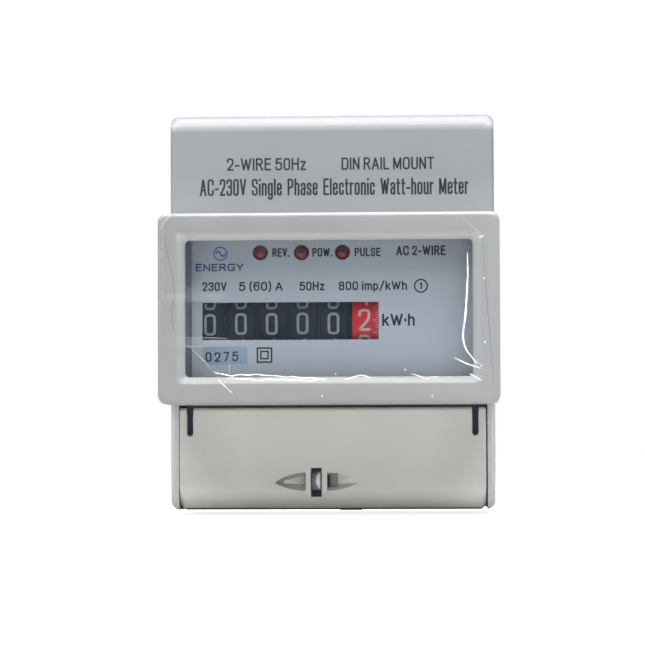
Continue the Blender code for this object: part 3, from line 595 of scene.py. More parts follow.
def make_bezel():
    def rect(half_w, half_h, radius, y):
        return facing(rounded((-half_w, -half_h), (half_w, half_h), radius), y)

    seat = box_mm("window_lens")[0].y - 0.3
    loops = [rect(NOSE_W - 1.8, NOSE_H - 1.6, 0.8, NOSE_BACK),
             rect(NOSE_W - 0.2, NOSE_H - 0.2, 1.0, NOSE_BACK),
             rect(NOSE_W, NOSE_H, NOSE_CORNER, NOSE_BACK - 0.2)]
    for step in range(7):
        t = math.radians(15 * step)
        inset = NOSE_EDGE * (1 - math.cos(t))
        y = NOSE_FRONT + NOSE_EDGE * (1 - math.sin(t))
        loops.append(rect(NOSE_W - inset, NOSE_H - inset, NOSE_CORNER, y))
    loops.append(rect(BEVEL_OUT_W + 0.15, BEVEL_OUT_H + 0.15, 1.9, NOSE_FRONT))
    loops.append(rect(BEVEL_OUT_W, BEVEL_OUT_H, 1.8, NOSE_FRONT + 0.05))
    loops.append(rect(WINDOW_W + 0.1, WINDOW_H + 0.1, 1.1, NOSE_FRONT + BEVEL_DEPTH - 0.05))
    loops.append(rect(WINDOW_W, WINDOW_H, 1.0, NOSE_FRONT + BEVEL_DEPTH + 0.08))
    loops.append(rect(WINDOW_W, WINDOW_H, 1.0, seat))
    loops.append(rect(NOSE_W - 1.8, NOSE_H - 1.6, 0.8, seat))
    dress(loft("bezel_shell", loops, ring=True), BEZEL_GREY, nodes=["front_bezel"])


def make_lens():
    low, high = box_mm("window_lens")
    loops = []
    for y, inset in ((low.y, 0.2), (low.y + 0.2, 0.0), (high.y - 0.2, 0.0), (high.y, 0.2)):
        outline = rounded((low.x + inset, low.z + inset), (high.x - inset, high.z - inset), 1.0)
        loops.append(facing(outline, y))
    dress(loft("lens_pane", loops), LENS, nodes=["window_lens"])


# ------------------------------------------------------------------ front housing

BODY_CORNER = 2.0
WALL = 1.8
BAY_HALF_W = (34.98, 35.2)   # left and right faces beside the cover
BAY_TOP = -20.6
SCREW_SPOTS = ((-31.0, 38.5), (31.0, 38.5))


def make_front_housing():
    """Outer shell with a large fillet along the front top edge and small ones at the sides."""
    low, high = box_mm("front_housing")
    front = COVER_FRONT
    fillet, side = 2.6, 1.0
    outer = rounded((low.x + 0.25, low.z + 0.25), (high.x - 0.25, high.z - 0.25), BODY_CORNER)
    loops = [facing(outer, high.y),
             facing(rounded((low.x, low.z), (high.x, high.z), BODY_CORNER), high.y - 0.25)]
    for step in range(9):
        t = math.radians(11.25 * step)
        drop, inset = fillet * (1 - math.cos(t)), side * (1 - math.cos(t))
        y = front + fillet * (1 - math.sin(t))
        corners = (low.x + inset, low.z + drop), (high.x - inset, high.z - drop)
        loops.append(facing(rounded(*corners, BODY_CORNER + inset * 0.4), y))
    shell = loft("front_shell", loops)
    sleeve_w, sleeve_h = NOSE_W - 3.2, NOSE_H - 2.2
    fuse(shell, block("sleeve", (-sleeve_w, sleeve_w), (low.y, front + 1), (-sleeve_h, sleeve_h)))
    inner, wall = high.x - WALL, 1.4
    carve(shell,
          block("cavity", (-inner, inner), (front + WALL, high.y + 1), (-sleeve_h + wall, high.z - WALL)),
          block("sleeve_bore", (wall - sleeve_w, sleeve_w - wall), (low.y - 1, front + 2),
                (wall - sleeve_h, sleeve_h - wall)))
    left, right = BAY_HALF_W
    carve(shell, block("bay", (-left, right), (front - 1, high.y + 1), (low.z - 1, BAY_TOP)))
    carve(shell, rod("socket", "X", pivot_point(), 1.3, (-left - 1.2, right + 1.0), 24))
    for spot in SCREW_SPOTS:
        fuse(shell, rod("boss", "Y", spot, 3.0, (front + 1, high.y - 2), 32))
        carve(shell, rod("boss_bore", "Y", spot, 1.5, (front + 4, high.y), 24))
    dress(level(shell), TIER_GREY, nodes=["front_housing"])


# ------------------------------------------------------------------ rear base

RAIL_LIP = 17.9              # half height of the rail channel
HOOK_TIP = 16.3
LATCH_HALF = (9.3, 6.3)      # half widths of the latch guide and of its rear opening
LIP_THICK, LIP_REACH, LIP_GAP = 1.0, 1.2, 0.05


def add_seam_lip(base, low, high):
    """Lip inside the sides and the top that bridges the seam to the front housing, on a foot in the wall."""
    inner = high.x - WALL
    edge, top = inner - LIP_GAP, high.z - WALL - LIP_GAP
    reach, root = (low.y - LIP_REACH, low.y + 2.0), (low.y + 0.6, low.y + 2.0)
    height = (BAY_TOP + 0.5, top)
    for side in (-1, 1):
        lip, foot = (sorted((side * (inner - LIP_THICK), side * x)) for x in (edge, inner + 0.5))
        fuse(base, block("lip", lip, reach, height), block("lip_foot", foot, root, height))
    under = top - LIP_THICK + LIP_GAP
    fuse(base, block("lip", (-edge, edge), reach, (under, top)),
         block("lip_foot", (-edge, edge), root, (under, top + LIP_GAP + 0.5)))


def make_rear_base():
    low, high = box_mm("rear_base")
    latch_low, latch_high = box_mm("rail_latch")
    latch_x = (latch_low.x + latch_high.x) / 2
    seat = 0.0
    outline = [(low.y, low.z), (high.y, low.z), (high.y, -RAIL_LIP), (seat, -RAIL_LIP), (seat, RAIL_LIP),
               (1.3, RAIL_LIP), (1.3, HOOK_TIP), (3.5, HOOK_TIP), (high.y, RAIL_LIP), (high.y, high.z),
               (low.y, high.z)]
    base = prism("rear_shell", "X", outline, (low.x, high.x))
    bm = bmesh.new()
    bm.from_mesh(base.data)
    corners = [e for e in bm.edges if all(abs(abs(v.co.z) - high.z * MM) < 1e-6 for v in e.verts)
               and abs(e.verts[0].co.x - e.verts[1].co.x) < 1e-6]
    bmesh.ops.bevel(bm, geom=corners, offset=BODY_CORNER * MM, segments=6, profile=0.5, affect="EDGES")
    bm.to_mesh(base.data)
    bm.free()
    ease(base, 0.3)
    inner = high.x - WALL
    carve(base,
          block("cavity", (-inner, inner), (low.y - 1, -2.5), (BAY_TOP, high.z - WALL)),
          block("bay", (-inner, inner), (low.y - 1, -8.7), (low.z - 1, BAY_TOP + 0.01)))
    add_seam_lip(base, low, high)
    below_rail = (low.z - 1, 1 - RAIL_LIP)
    carve(base, *[block("latch_way", (latch_x - half, latch_x + half), y, below_rail)
                  for half, y in zip(LATCH_HALF, ((1.0, 3.6), (3.3, high.y + 1)))])
    spring_low = box_mm("rail_latch_spring")[0].z
    stop = (spring_low - 2.0, spring_low - 0.3)
    fuse(base, block("stop", (latch_x - 2.2, latch_x + 2.2), (0.7, 5.0), stop))
    for spot in SCREW_SPOTS:
        carve(base, rod("screw_hole", "Y", spot, 1.7, (-10, high.y + 1), 32),
              lathe("screw_sink", "Y", spot, ((2.5, 3.0), (high.y - 0.3, 3.0), (high.y + 0.1, 3.4)), 48))
    foot_marks = [(-22, 31), (0, 31), (22, 31), (-26, -32), (-16, -32), (22, -32), (30, -32)]
    seat_marks = [(-28, 9), (-28, -9), (28, 9), (28, -9)]
    for spots, span in ((foot_marks, (high.y - 0.12, high.y + 1)), (seat_marks, (seat - 0.1, seat + 0.5))):
        carve(base, *[rod("ejector_mark", "Y", spot, 1.7, span, 36) for spot in spots])
    dress(level(base), BASE_GREY, nodes=["rear_base"])


def make_housing_screws():
    """Cross-recessed pan heads at the bottom of their sinks."""
    for side, (x, z) in zip(("left", "right"), SCREW_SPOTS):
        low, high = box_mm(f"housing_screw_{side}")
        profile = [(low.y, 0.05), (low.y + 1.0, 1.1), (high.y - 2.2, 1.2), (high.y - 2.2, 2.6)]
        profile += [(high.y - 0.9, 2.6), (high.y - 0.35, 2.35), (high.y - 0.08, 1.7), (high.y, 0.05)]
        screw = lathe(f"housing_screw_{side}_body", "Y", (x, z), profile, 48)
        for width, height in ((2.6, 0.55), (0.55, 2.6)):
            carve(screw, block("recess", (x - width / 2, x + width / 2), (high.y - 0.9, high.y + 1),
                               (z - height / 2, z + height / 2)))
        dress(screw, ZINC, nodes=[f"housing_screw_{side}"])


def make_rail_latch():
    low, high = box_mm("rail_latch")
    middle = (low.x + high.x) / 2
    foot = low.z + 2.5
    outline = [(low.y, high.z), (low.y + 2.0, high.z - 1.6), (low.y + 2.0, foot), (low.y, foot)]
    latch = ease(prism("latch_plate", "X", outline, (low.x, high.x)), 0.2)

    def across(half):
        return middle - half, middle + half

    rib = ease(block("latch_rib", across(6), (low.y + 1.5, high.y), (foot, high.z - 4)), 0.3)
    tab = ease(block("latch_tab", across(2.75), (low.y + 0.2, high.y - 0.2), (low.z, foot + 1)), 0.25)
    fuse(latch, rib, tab)
    spring_low, spring_high = box_mm("rail_latch_spring")
    carve(latch, block("window", across(2.6), (0, 7), (spring_low.z - 2.5, spring_high.z + 0.3)))
    carve(latch, *[block("grip", across(4.6), (high.y - 0.35, high.y + 1), (z, z + 0.6))
                   for z in (high.z - 6.2, high.z - 7.6, high.z - 9.0)])
    dress(latch, BASE_GREY, "latch", ["rail_latch"])


# ------------------------------------------------------------------ terminal cover

def pivot_point():
    hinge = next(joint for joint in frame["joints"] if joint["name"] == "cover_hinge")
    return hinge["pos_m"][1] / MM, hinge["pos_m"][2] / MM


COVER_WALL = 1.8
COVER_RADIUS = 5.0
COVER_HALF_W = 34.9
EAR_SLOT_X = 32.45
EAR_SLOT_HALF = 0.72
EAR_SLOT_BOTTOM = -28.2
SEAL_HALF_W, SEAL_HALF_H = 1.23, 3.28
SCOOP_LENGTH, SCOOP_HALF_H, SCOOP_DEPTH, SCOOP_GAP = 7.5, 2.0, 2.4, 1.2
SCOOP_ARCH = 1.14            # upper half of a scoop against its lower half


def cover_profile(x, inset, lift, low, foot, top):
    """Side outline of the cover at one x; inset pulls the outer skin in and lift raises its lower edge."""
    front, bottom = low.y + inset, low.z + inset + lift
    radius = COVER_RADIUS
    crown = 0.9
    outline = arc((front + crown, top - inset - crown), crown, 90, 180, 6)
    outline += arc((front + radius, bottom + radius), radius, 180, 270, 14)
    outline += [(foot, bottom), (foot, low.z + COVER_WALL + lift)]
    inner = radius - COVER_WALL
    outline += arc((low.y + radius, low.z + radius + lift), inner, 270, 180, 10)
    outline += [(low.y + COVER_WALL, top - inset)]
    return [(x, y, z) for y, z in outline]


def scoop(side):
    """Cutter for a pointed pocket: a ramp that deepens towards the slot between sloped walls."""
    near = SEAL_X + side * (SEAL_HALF_W + SCOOP_GAP)
    steps = 14
    reach = SCOOP_LENGTH - 2.4
    upper, lower = [], []
    for i in range(steps + 1):
        t = i / steps
        half = SCOOP_HALF_H * math.cos(math.pi / 2 * t) ** 0.8 if i < steps else 0.0
        floor_depth = 0.75 + (SCOOP_DEPTH - 0.75) * (1 - t)
        rim = near + side * SCOOP_LENGTH * t
        ramp = near + side * reach * t
        upper.append(((rim, SCOOP_ARCH * half), (ramp, 1.85 * (1 - t) ** 0.6 - 0.2), floor_depth))
        lower.append(((rim, -half), (ramp, 0.2 * t - 0.4), floor_depth))
    ring = lower[:-1] + upper[::-1]
    mouth = [(x, COVER_FRONT, SEAL_Z + h) for (x, h), _, _ in ring]
    above = [(x, COVER_FRONT - 0.6, z) for x, _, z in mouth]
    floor = [(x, COVER_FRONT + depth, SEAL_Z + h) for _, (x, h), depth in ring]
    return loft("scoop", [above, mouth, floor])


def scoop_hole(side, width, low, high):
    """Narrow through hole at the end of a scoop, where the sealing wire passes."""
    near = SEAL_X + side * (SEAL_HALF_W + SCOOP_GAP)
    x = sorted((near - side * 0.02, near + side * width))
    return block("scoop_hole", x, (COVER_FRONT + 0.05, COVER_FRONT + 8), (SEAL_Z + low, SEAL_Z + high))


def scoop_step():
    """Deeper step beside the right-hand wire hole."""
    near = SEAL_X + SEAL_HALF_W + SCOOP_GAP
    corners = ((0.0, -0.5), (2.55, -0.5), (2.5, 1.9), (0.6, 3.0), (0.0, 3.0))
    outline = [(near + x, COVER_FRONT + y) for x, y in corners]
    return prism("scoop_step", "Z", outline, (SEAL_Z - 1.1, SEAL_Z + 2.1))


def slot_cutter(outline_at, front, depth):
    """Cutter chamfered where it leaves the front face; outline_at gives the outline grown by a margin."""
    chamfer = 0.18
    sections = ((chamfer, -0.5), (chamfer, -0.01), (0.0, chamfer), (0.0, depth))
    return loft("slot", [facing(outline_at(margin), front + y) for margin, y in sections])


def seal_slot_outline(margin):
    w, h = SEAL_HALF_W + margin, SEAL_HALF_H + margin
    return rounded((SEAL_X - w, SEAL_Z - h), (SEAL_X + w, SEAL_Z + h), 0.2 + margin, 3)


def ear_slot_outline(x, top, margin):
    half = EAR_SLOT_HALF + margin
    outline = [(x + half * 1.2, top + 1), (x - half * 1.2, top + 1), (x - half * 0.95, top - 2.6)]
    outline += arc((x, EAR_SLOT_BOTTOM + EAR_SLOT_HALF), half, 180, 360, 14)
    return outline + [(x + half * 0.95, top - 2.6)]


def make_cover():
    low, high = box_mm("terminal_cover")
    top, foot = -21.75, high.y
    edge = 0.35
    corner = 1.1
    xs = [COVER_HALF_W - edge - corner * (1 - math.cos(math.radians(15 * i))) for i in range(1, 7)]
    turns = [math.radians(22.5 * i) for i in range(4, -1, -1)]
    half = [(COVER_HALF_W - edge * (1 - math.sin(t)), edge * (1 - math.cos(t))) for t in turns]
    half += [(x, 0.0) for x in xs]

    def lift(x):
        """Height of the rounded lower corner at one x."""
        reach = min(max(x - (COVER_HALF_W - edge - corner), 0.0), corner)
        return min(corner - math.sqrt(corner ** 2 - reach ** 2), 0.7)

    sections = [(x, inset, lift(x)) for x, inset in half]
    loops = [cover_profile(x, inset, rise, low, foot, top) for x, inset, rise in sections]
    loops += [cover_profile(-x, inset, rise, low, foot, top) for x, inset, rise in reversed(sections)]
    cover = loft("cover_shell", loops)
    reach = SEAL_HALF_W + SCOOP_GAP + SCOOP_LENGTH
    fuse(cover, block("boss", (SEAL_X - reach, SEAL_X + reach), (low.y + 1, low.y + SCOOP_DEPTH + 1.6),
                      (SEAL_Z - SEAL_HALF_H - 0.4, SEAL_Z + SEAL_HALF_H + 1.2)))
    carve(cover, slot_cutter(seal_slot_outline, low.y, 8), scoop(-1), scoop(1), scoop_step())
    carve(cover, scoop_hole(-1, 0.24, -0.8, 1.8), scoop_hole(1, 0.6, -1.1, 1.8))
    carve(cover, rod("wire_hole", "X", (low.y + 1.4, SEAL_Z), 0.6, (SEAL_X - 4, SEAL_X + 4), 24))
    pivot = pivot_point()
    for side in (-1, 1):
        x = side * EAR_SLOT_X
        carve(cover, slot_cutter(lambda margin: ear_slot_outline(x, top, margin), low.y, 6))
        ear = sorted((side * (EAR_SLOT_X + EAR_SLOT_HALF), side * COVER_HALF_W))
        fuse(cover, rod("ear_boss", "X", pivot, 2.0, ear, 40))
        pin = sorted((side * (COVER_HALF_W - 0.5), side * high.x))
        fuse(cover, rod("hinge_pin", "X", pivot, 1.0, pin, 32))
    for clamp in range(1, 5):
        clamp_low, clamp_high = box_mm(f"main_clamp_{clamp}")
        centre = (clamp_low.x + clamp_high.x) / 2
        carve(cover, block("notch", (centre - 4.2, centre + 4.2), (-24.0, foot + 1), (low.z - 1, -42.0)))
    first, last = box_mm("pulse_clamp_1")[0].x, box_mm("pulse_clamp_2")[1].x
    carve(cover, block("notch", (first - 0.3, last + 1.2), (-24.5, foot + 1), (low.z - 1, -42.0)))
    dress(level(cover), COVER_GREY, "cover", ["terminal_cover"])


# ------------------------------------------------------------------ lettering

# Strokes of each character in a cell one cap height tall: the cell's width, then strokes parted by bars.
# Every corner is x,z with x running from 0 to 1 across the cell; a corner marked ~ is drawn round.
GLYPHS = {
    "A": (0.62, "0,0 .5,1 1,0 | .16,.32 .84,.32"),
    "C": (0.58, "1,.72 ~1,1 ~0,1 ~0,0 ~1,0 1,.28"),
    "D": (0.58, "0,0 0,1 ~1,1 ~1,0 0,0"),
    "E": (0.48, "1,1 0,1 0,0 1,0 | 0,.53 .9,.53"),
    "G": (0.6, "1,.82 ~1,1 ~0,1 ~0,0 ~1,0 1,.42 .6,.42"),
    "H": (0.56, "0,0 0,1 | 1,0 1,1 | 0,.53 1,.53"),
    "I": (0.0, "0,0 0,1"),
    "L": (0.44, "0,1 0,0 1,0"),
    "M": (0.72, "0,0 0,1 .5,.08 1,1 1,0"),
    "N": (0.56, "0,0 0,1 1,0 1,1"),
    "O": (0.6, "~0,0 ~0,1 ~1,1 ~1,0 ~0,0"),
    "P": (0.52, "0,0 0,1 ~1,1 ~1,.46 0,.46"),
    "R": (0.56, "0,0 0,1 ~.95,1 ~.95,.5 0,.5 | .5,.5 1,0"),
    "S": (0.54, "1,.76 ~1,1 ~0,1 ~0,.56 ~1,.47 ~1,0 ~0,0 0,.24"),
    "T": (0.54, "0,1 1,1 | .5,1 .5,0"),
    "U": (0.56, "0,1 ~0,0 ~1,0 1,1"),
    "V": (0.58, "0,1 .5,0 1,1"),
    "W": (0.9, "0,1 .26,0 .5,.92 .74,0 1,1"),
    "Y": (0.56, "0,1 .5,.45 1,1 | .5,.45 .5,0"),
    "a": (0.42, ".05,.56 ~.05,.72 ~1,.72 1,0 | 1,.42 ~0,.38 ~0,0 ~1,0 1,.2"),
    "c": (0.4, "1,.52 ~1,.72 ~0,.72 ~0,0 ~1,0 1,.2"),
    "e": (0.42, "0,.38 1,.38 ~1,.72 ~0,.72 ~0,0 ~1,0 .96,.18"),
    "g": (0.42, "1,.72 ~1,-.28 ~0,-.28 .03,-.16 | ~0,0 ~0,.72 ~1,.72 ~1,0 ~0,0"),
    "h": (0.42, "0,0 0,1 | 0,.48 ~.05,.72 ~1,.72 1,0"),
    "i": (0.0, "0,0 0,.68 | 0,.97 0,1"),
    "k": (0.42, "0,0 0,1 | .95,.72 0,.28 | .36,.44 1,0"),
    "l": (0.0, "0,0 0,1"),
    "m": (0.72, "0,0 0,.72 | 0,.48 ~.02,.72 ~.5,.72 .5,0 | .5,.48 ~.52,.72 ~1,.72 1,0"),
    "n": (0.42, "0,0 0,.72 | 0,.48 ~.05,.72 ~1,.72 1,0"),
    "o": (0.44, "~0,0 ~0,.72 ~1,.72 ~1,0 ~0,0"),
    "p": (0.42, "0,.72 0,-.26 | ~0,0 ~0,.72 ~1,.72 ~1,0 ~0,0"),
    "r": (0.24, "0,0 0,.72 | 0,.44 ~.1,.72 1,.7"),
    "s": (0.4, "1,.56 ~1,.72 ~0,.72 ~0,.4 ~1,.34 ~1,0 ~0,0 0,.16"),
    "t": (0.26, ".35,.95 ~.35,0 1,0 | 0,.7 1,.7"),
    "u": (0.42, "0,.72 ~0,0 ~1,0 1,.24 | 1,.72 1,0"),
    "z": (0.4, "0,.72 1,.72 0,0 1,0"),
    "0": (0.5, "~0,0 ~0,1 ~1,1 ~1,0 ~0,0"),
    "1": (0.24, "0,.76 1,1 1,0"),
    "2": (0.5, "0,.74 ~0,1 ~1,1 ~1,.55 0,0 1,0"),
    "3": (0.5, "0,.8 ~0,1 ~1,1 ~1,.54 .4,.54 | .4,.54 ~1,.52 ~1,0 ~0,0 0,.2"),
    "4": (0.54, ".72,0 .72,1 0,.28 1,.28"),
    "5": (0.5, ".92,1 .1,1 .02,.52 ~.2,.63 ~1,.63 ~1,0 ~0,0 0,.2"),
    "6": (0.5, "1,.8 ~1,1 ~0,1 ~0,0 ~1,0 ~1,.58 ~0,.58 0,.4"),
    "7": (0.48, "0,1 1,1 .35,0"),
    "8": (0.5, "~.05,.53 ~.05,1 ~.95,1 ~.95,.53 ~.05,.53 | ~0,0 ~0,.53 ~1,.53 ~1,0 ~0,0"),
    "9": (0.5, "0,.2 ~0,0 ~1,0 ~1,1 ~0,1 ~0,.42 ~1,.42 1,.6"),
    ".": (0.0, "0,0 0,.04"),
    "-": (0.26, "0,.38 1,.38"),
    "(": (0.14, "1,1.1 ~0,.85 ~0,.08 1,-.16"),
    ")": (0.14, "0,1.1 ~1,.85 ~1,.08 0,-.16"),
    "/": (0.42, "0,-.12 1,1.08"),
    "·": (0.0, "0,.42 0,.52"),
}
FIGURE_CELL = 0.5
LETTER_GAP = 0.13
WORD_GAP = 0.3
STROKE_STEP = 0.003          # each stroke of a character stands a little proud of the one before
INK_DEPTH = 0.04


def strokes_of(character):
    """Width of a character and its strokes: (closed, [(x, z, rounded)])."""
    width, drawing = GLYPHS[character]
    strokes = []
    for part in drawing.split("|"):
        corners = []
        for token in part.split():
            x, z = token.lstrip("~").split(",")
            corners.append((float(x) * width, float(z), token.startswith("~")))
        closed = len(corners) > 2 and corners[0] == corners[-1]
        strokes.append((closed, corners[:-1] if closed else corners))
    return width, strokes


def draw_strokes(bm, strokes, scale, origin, stroke, radius, depths):
    """Draw strokes with square ends; scale and origin turn cell positions into (x, z) millimetres."""
    for order, (closed, corners) in enumerate(strokes):
        points = [Vector((origin[0] + x * scale[0], origin[1] + z * scale[1])) for x, z, _ in corners]
        if not closed:
            first, last = (points[0] - points[1]).normalized(), (points[-1] - points[-2]).normalized()
            points[0] += first * stroke / 2
            points[-1] += last * stroke / 2
        radii = [radius if rounded else 0.12 * stroke for _, _, rounded in corners]
        path = refine(round_path(points, radii, closed), 0.35, closed)
        ribbon(bm, path, [stroke] * len(path), closed, (depths[0], depths[1] - order * STROKE_STEP))


def letters(name, text, x_span, baseline, cap, stroke, face_y, material):
    """Printed lettering that fills the span between two x positions."""
    cells = [(None, ()) if character == " " else strokes_of(character) for character in text]
    inked = [width for width, _ in cells if width is not None]
    gaps = LETTER_GAP * (len(inked) - 1) + WORD_GAP * (len(cells) - len(inked))
    scale = ((x_span[1] - x_span[0] - stroke * len(inked)) / (sum(inked) + gaps), cap - stroke)
    bm = bmesh.new()
    x = x_span[0] + stroke / 2
    for width, strokes in cells:
        if width is None:
            x += WORD_GAP * scale[0]
            continue
        origin, depths = (x, baseline + stroke / 2), (face_y, face_y - 0.03)
        draw_strokes(bm, strokes, scale, origin, stroke, 0.3 * cap, depths)
        x += (width + LETTER_GAP) * scale[0] + stroke
    return print_on(finish_mesh(name, bm), material)


def print_on(item, material):
    """Dress flat ink, which is too thin to throw a shadow."""
    item.data.shade_flat()
    item.visible_shadow = False
    return dress(item, material)


def round_path(points, radii, closed=False, steps=5):
    """A polyline with each corner rounded by its own radius."""
    points = [Vector(p) for p in points]
    count = len(points)
    path = []
    for i, (point, radius) in enumerate(zip(points, radii)):
        if not closed and i in (0, count - 1):
            path.append(point)
            continue
        before, after = points[i - 1] - point, points[(i + 1) % count] - point
        reach = min(radius, before.length * 0.49, after.length * 0.49)
        start, end = point + before.normalized() * reach, point + after.normalized() * reach
        turns = [j / steps for j in range(steps + 1)]
        path += [start.lerp(point, t).lerp(point.lerp(end, t), t) for t in turns]
    return path


def ribbon(bm, path, width, closed, depths):
    """Add a flat strip along a path of (x, z) points, with a front and a back face."""
    rows = []
    count = len(path)
    for i, point in enumerate(path):
        before = path[i - 1] if closed or i else point
        after = path[(i + 1) % count] if closed or i < count - 1 else point
        along = (after - before).normalized()
        side = Vector((-along.y, along.x)) * width[i] / 2
        left, right = point + side, point - side
        corners = ((left, depths[0]), (right, depths[0]), (right, depths[1]), (left, depths[1]))
        rows.append([bm.verts.new((p.x, y, p.y)) for p, y in corners])
    for first, second in zip(rows, rows[1:]):
        bridge(bm, first, second)
    if closed:
        bridge(bm, rows[-1], rows[0])
    else:
        bm.faces.new(rows[0])
        bm.faces.new(rows[-1])


def refine(path, step, closed=False):
    """Split long stretches of a path."""
    fine = []
    ends = path[1:] + (path[:1] if closed else [])
    for start, end in zip(path, ends):
        pieces = max(1, math.ceil((end - start).length / step))
        fine += [start.lerp(end, i / pieces) for i in range(pieces)]
    return fine if closed else fine + [path[-1]]


def figure(number, width, height, stroke, depths):
    """Mesh of one figure, centred on the origin; narrow figures keep their own width."""
    bm = bmesh.new()
    cell, strokes = strokes_of(str(number))
    scale = ((width - stroke) / FIGURE_CELL, height - stroke)
    draw_strokes(bm, strokes, scale, (-cell * scale[0] / 2, -scale[1] / 2), stroke, 0.85, depths)
    return bm


# ------------------------------------------------------------------ nameplate

PLATE_LOW, PLATE_HIGH = box_mm("nameplate")
PLATE_Y = PLATE_LOW.y
REGISTER_X = (-28.7, 10.9)
REGISTER_Z = (-6.75, 1.7)


def make_nameplate():
    outline = rounded((PLATE_LOW.x, PLATE_LOW.z), (PLATE_HIGH.x, PLATE_HIGH.z), 1.0)
    plate = loft("plate_sheet", [facing(outline, PLATE_LOW.y), facing(outline, PLATE_HIGH.y)])
    span = (PLATE_LOW.y - 1, PLATE_HIGH.y + 1)
    carve(plate, block("register_opening", REGISTER_X, span, REGISTER_Z))
    for spot in indicator_spots():
        carve(plate, rod("indicator_hole", "Y", spot, 1.72, span, 48))
    dress(plate, PLATE_PRINT, nodes=["nameplate"])


def frame_mark(name, low, high, line, face_y):
    """A thin printed rectangle outline."""
    outer = rounded(low, high, 0.05, 2)
    inner = rounded((low[0] + line, low[1] + line), (high[0] - line, high[1] - line), 0.05, 2)
    top_y = face_y - INK_DEPTH
    loops = [facing(outer, face_y), facing(outer, top_y), facing(inner, top_y), facing(inner, face_y)]
    return print_on(loft(name, loops, ring=True), PRINT_INK)


def ring_mark(name, spot, radius, line, face_y, material):
    top_y, inside = face_y - INK_DEPTH, radius - line
    profile = [(face_y, inside), (face_y, radius), (top_y, radius), (top_y, inside)]
    return print_on(lathe(name, "Y", spot, profile, 48, ring=True), material)


def make_plate_backing():
    """Grey carrier behind the printed plate, seen beside its left edge."""
    y = (PLATE_HIGH.y + 0.05, PLATE_HIGH.y + 0.5)
    backing = block("plate_carrier", (-33.2, 33.2), y, (PLATE_LOW.z, PLATE_HIGH.z))
    span = (y[0] - 1, y[1] + 1)
    carve(backing, block("register_opening", (REGISTER_X[0] - 0.4, REGISTER_X[1] + 0.4), span,
                         (REGISTER_Z[0] - 0.4, REGISTER_Z[1] + 0.4)))
    for spot in indicator_spots():
        carve(backing, rod("indicator_hole", "Y", spot, 2.1, span, 48))
    dress(backing, CARRIER)


def make_emblem(y):
    """Generic alternating-current symbol over a plain word."""
    centre = (-24.6, 12.7)
    ring_mark("emblem_ring", centre, 1.6, 0.3, y, EMBLEM_TEAL)
    bm = bmesh.new()
    wave = [Vector((centre[0] + 2.1 * (i / 24 - 0.5), centre[1] + 0.55 * math.sin(2 * math.pi * i / 24)))
            for i in range(25)]
    ribbon(bm, wave, [0.3] * 25, False, (y, y - INK_DEPTH))
    print_on(finish_mesh("emblem_wave", bm), EMBLEM_BLUE)
    letters("emblem_word", "ENERGY", (-30.2, -19.4), 8.75, 1.7, 0.32, y, EMBLEM_BLUE)


def make_plate_print():
    y = PLATE_Y
    lines = (
        ("label_rev", "REV.", (-12.9, -9.1), 11.9, 1.95, 0.33),
        ("label_pow", "POW.", (-3.9, 0.5), 11.9, 1.95, 0.33),
        ("label_pulse", "PULSE", (5.6, 11.4), 11.9, 1.95, 0.33),
        ("label_system", "AC 2-WIRE", (14.9, 26.0), 12.05, 2.2, 0.38),
        ("label_supply", "230V", (-28.7, -23.2), 4.3, 2.0, 0.34),
        ("label_current", "5 (60) A", (-20.4, -10.6), 4.3, 2.0, 0.34),
        ("label_frequency", "50Hz", (-6.8, -1.2), 4.3, 2.0, 0.34),
        ("label_constant", "800 imp/kWh", (2.0, 17.3), 4.3, 2.0, 0.34),
        ("label_unit", "kW·h", (11.7, 19.0), -3.75, 2.75, 0.46),
    )
    for name, text, x_span, baseline, cap, stroke in lines:
        letters(name, text, x_span, baseline, cap, stroke, y, PRINT_INK)
    one = ((20.1, 5.6), (20.5, 5.95), (20.5, 4.5))
    bm = bmesh.new()
    ribbon(bm, [Vector(p) for p in one], [0.34] * 3, False, (y, y - INK_DEPTH))
    print_on(finish_mesh("label_class", bm), PRINT_INK)
    ring_mark("class_ring", (20.42, 5.2), 1.57, 0.31, y, PRINT_INK)
    frame_mark("insulation_outer", (-16.5, -11.9), (-12.95, -8.4), 0.34, y)
    frame_mark("insulation_inner", (-15.7, -11.1), (-13.75, -9.15), 0.31, y)
    outline = rounded((-28.5, -12.1), (-18.6, -8.2), 0.15, 2)
    dress(loft("number_sticker", [facing(outline, y), facing(outline, y - 0.06)]), STICKER)
    for place, (number, lift) in enumerate(((0, 0.0), (2, -0.05), (7, 0.05), (5, 0.12))):
        bm = figure(number, 1.35, 2.15, 0.32, (0.0, -0.03))
        bmesh.ops.translate(bm, vec=(-27.3 + place * 2.0, y - 0.06, -10.5 + lift), verts=bm.verts)
        print_on(finish_mesh(f"sticker_figure_{place}", bm), PRINT_INK)
    make_emblem(y)


def make_tier_print():
    lines = (
        ("tier_line_left", "2-WIRE 50Hz", (-23.9, -5.8), 32.35, 2.85, 0.4),
        ("tier_line_right", "DIN RAIL MOUNT", (2.3, 23.4), 32.35, 2.85, 0.4),
        ("tier_line_wide", "AC-230V  Single  Phase  Electronic  Watt-hour  Meter",
         (-30.1, 31.2), 26.6, 3.85, 0.44),
    )
    for name, text, x_span, baseline, cap, stroke in lines:
        letters(name, text, x_span, baseline, cap, stroke, COVER_FRONT, TIER_INK)


# ------------------------------------------------------------------ register

DRUMS = ["digit_drum_tenths"] + [f"digit_drum_{10 ** i}" for i in range(5)]
DRUM_BODIES = ["drive_train"] + [f"drum_{10 ** i}" for i in range(5)]
READING = (2, 0, 0, 0, 0, 0)
DIGIT_TILT = (-1.0, 4.0, 3.6, 4.2, 4.0, 5.0)
DIGIT_W, DIGIT_H, DIGIT_STROKE = 2.65, 4.95, 0.58
DIGIT_OFFSET = -0.57


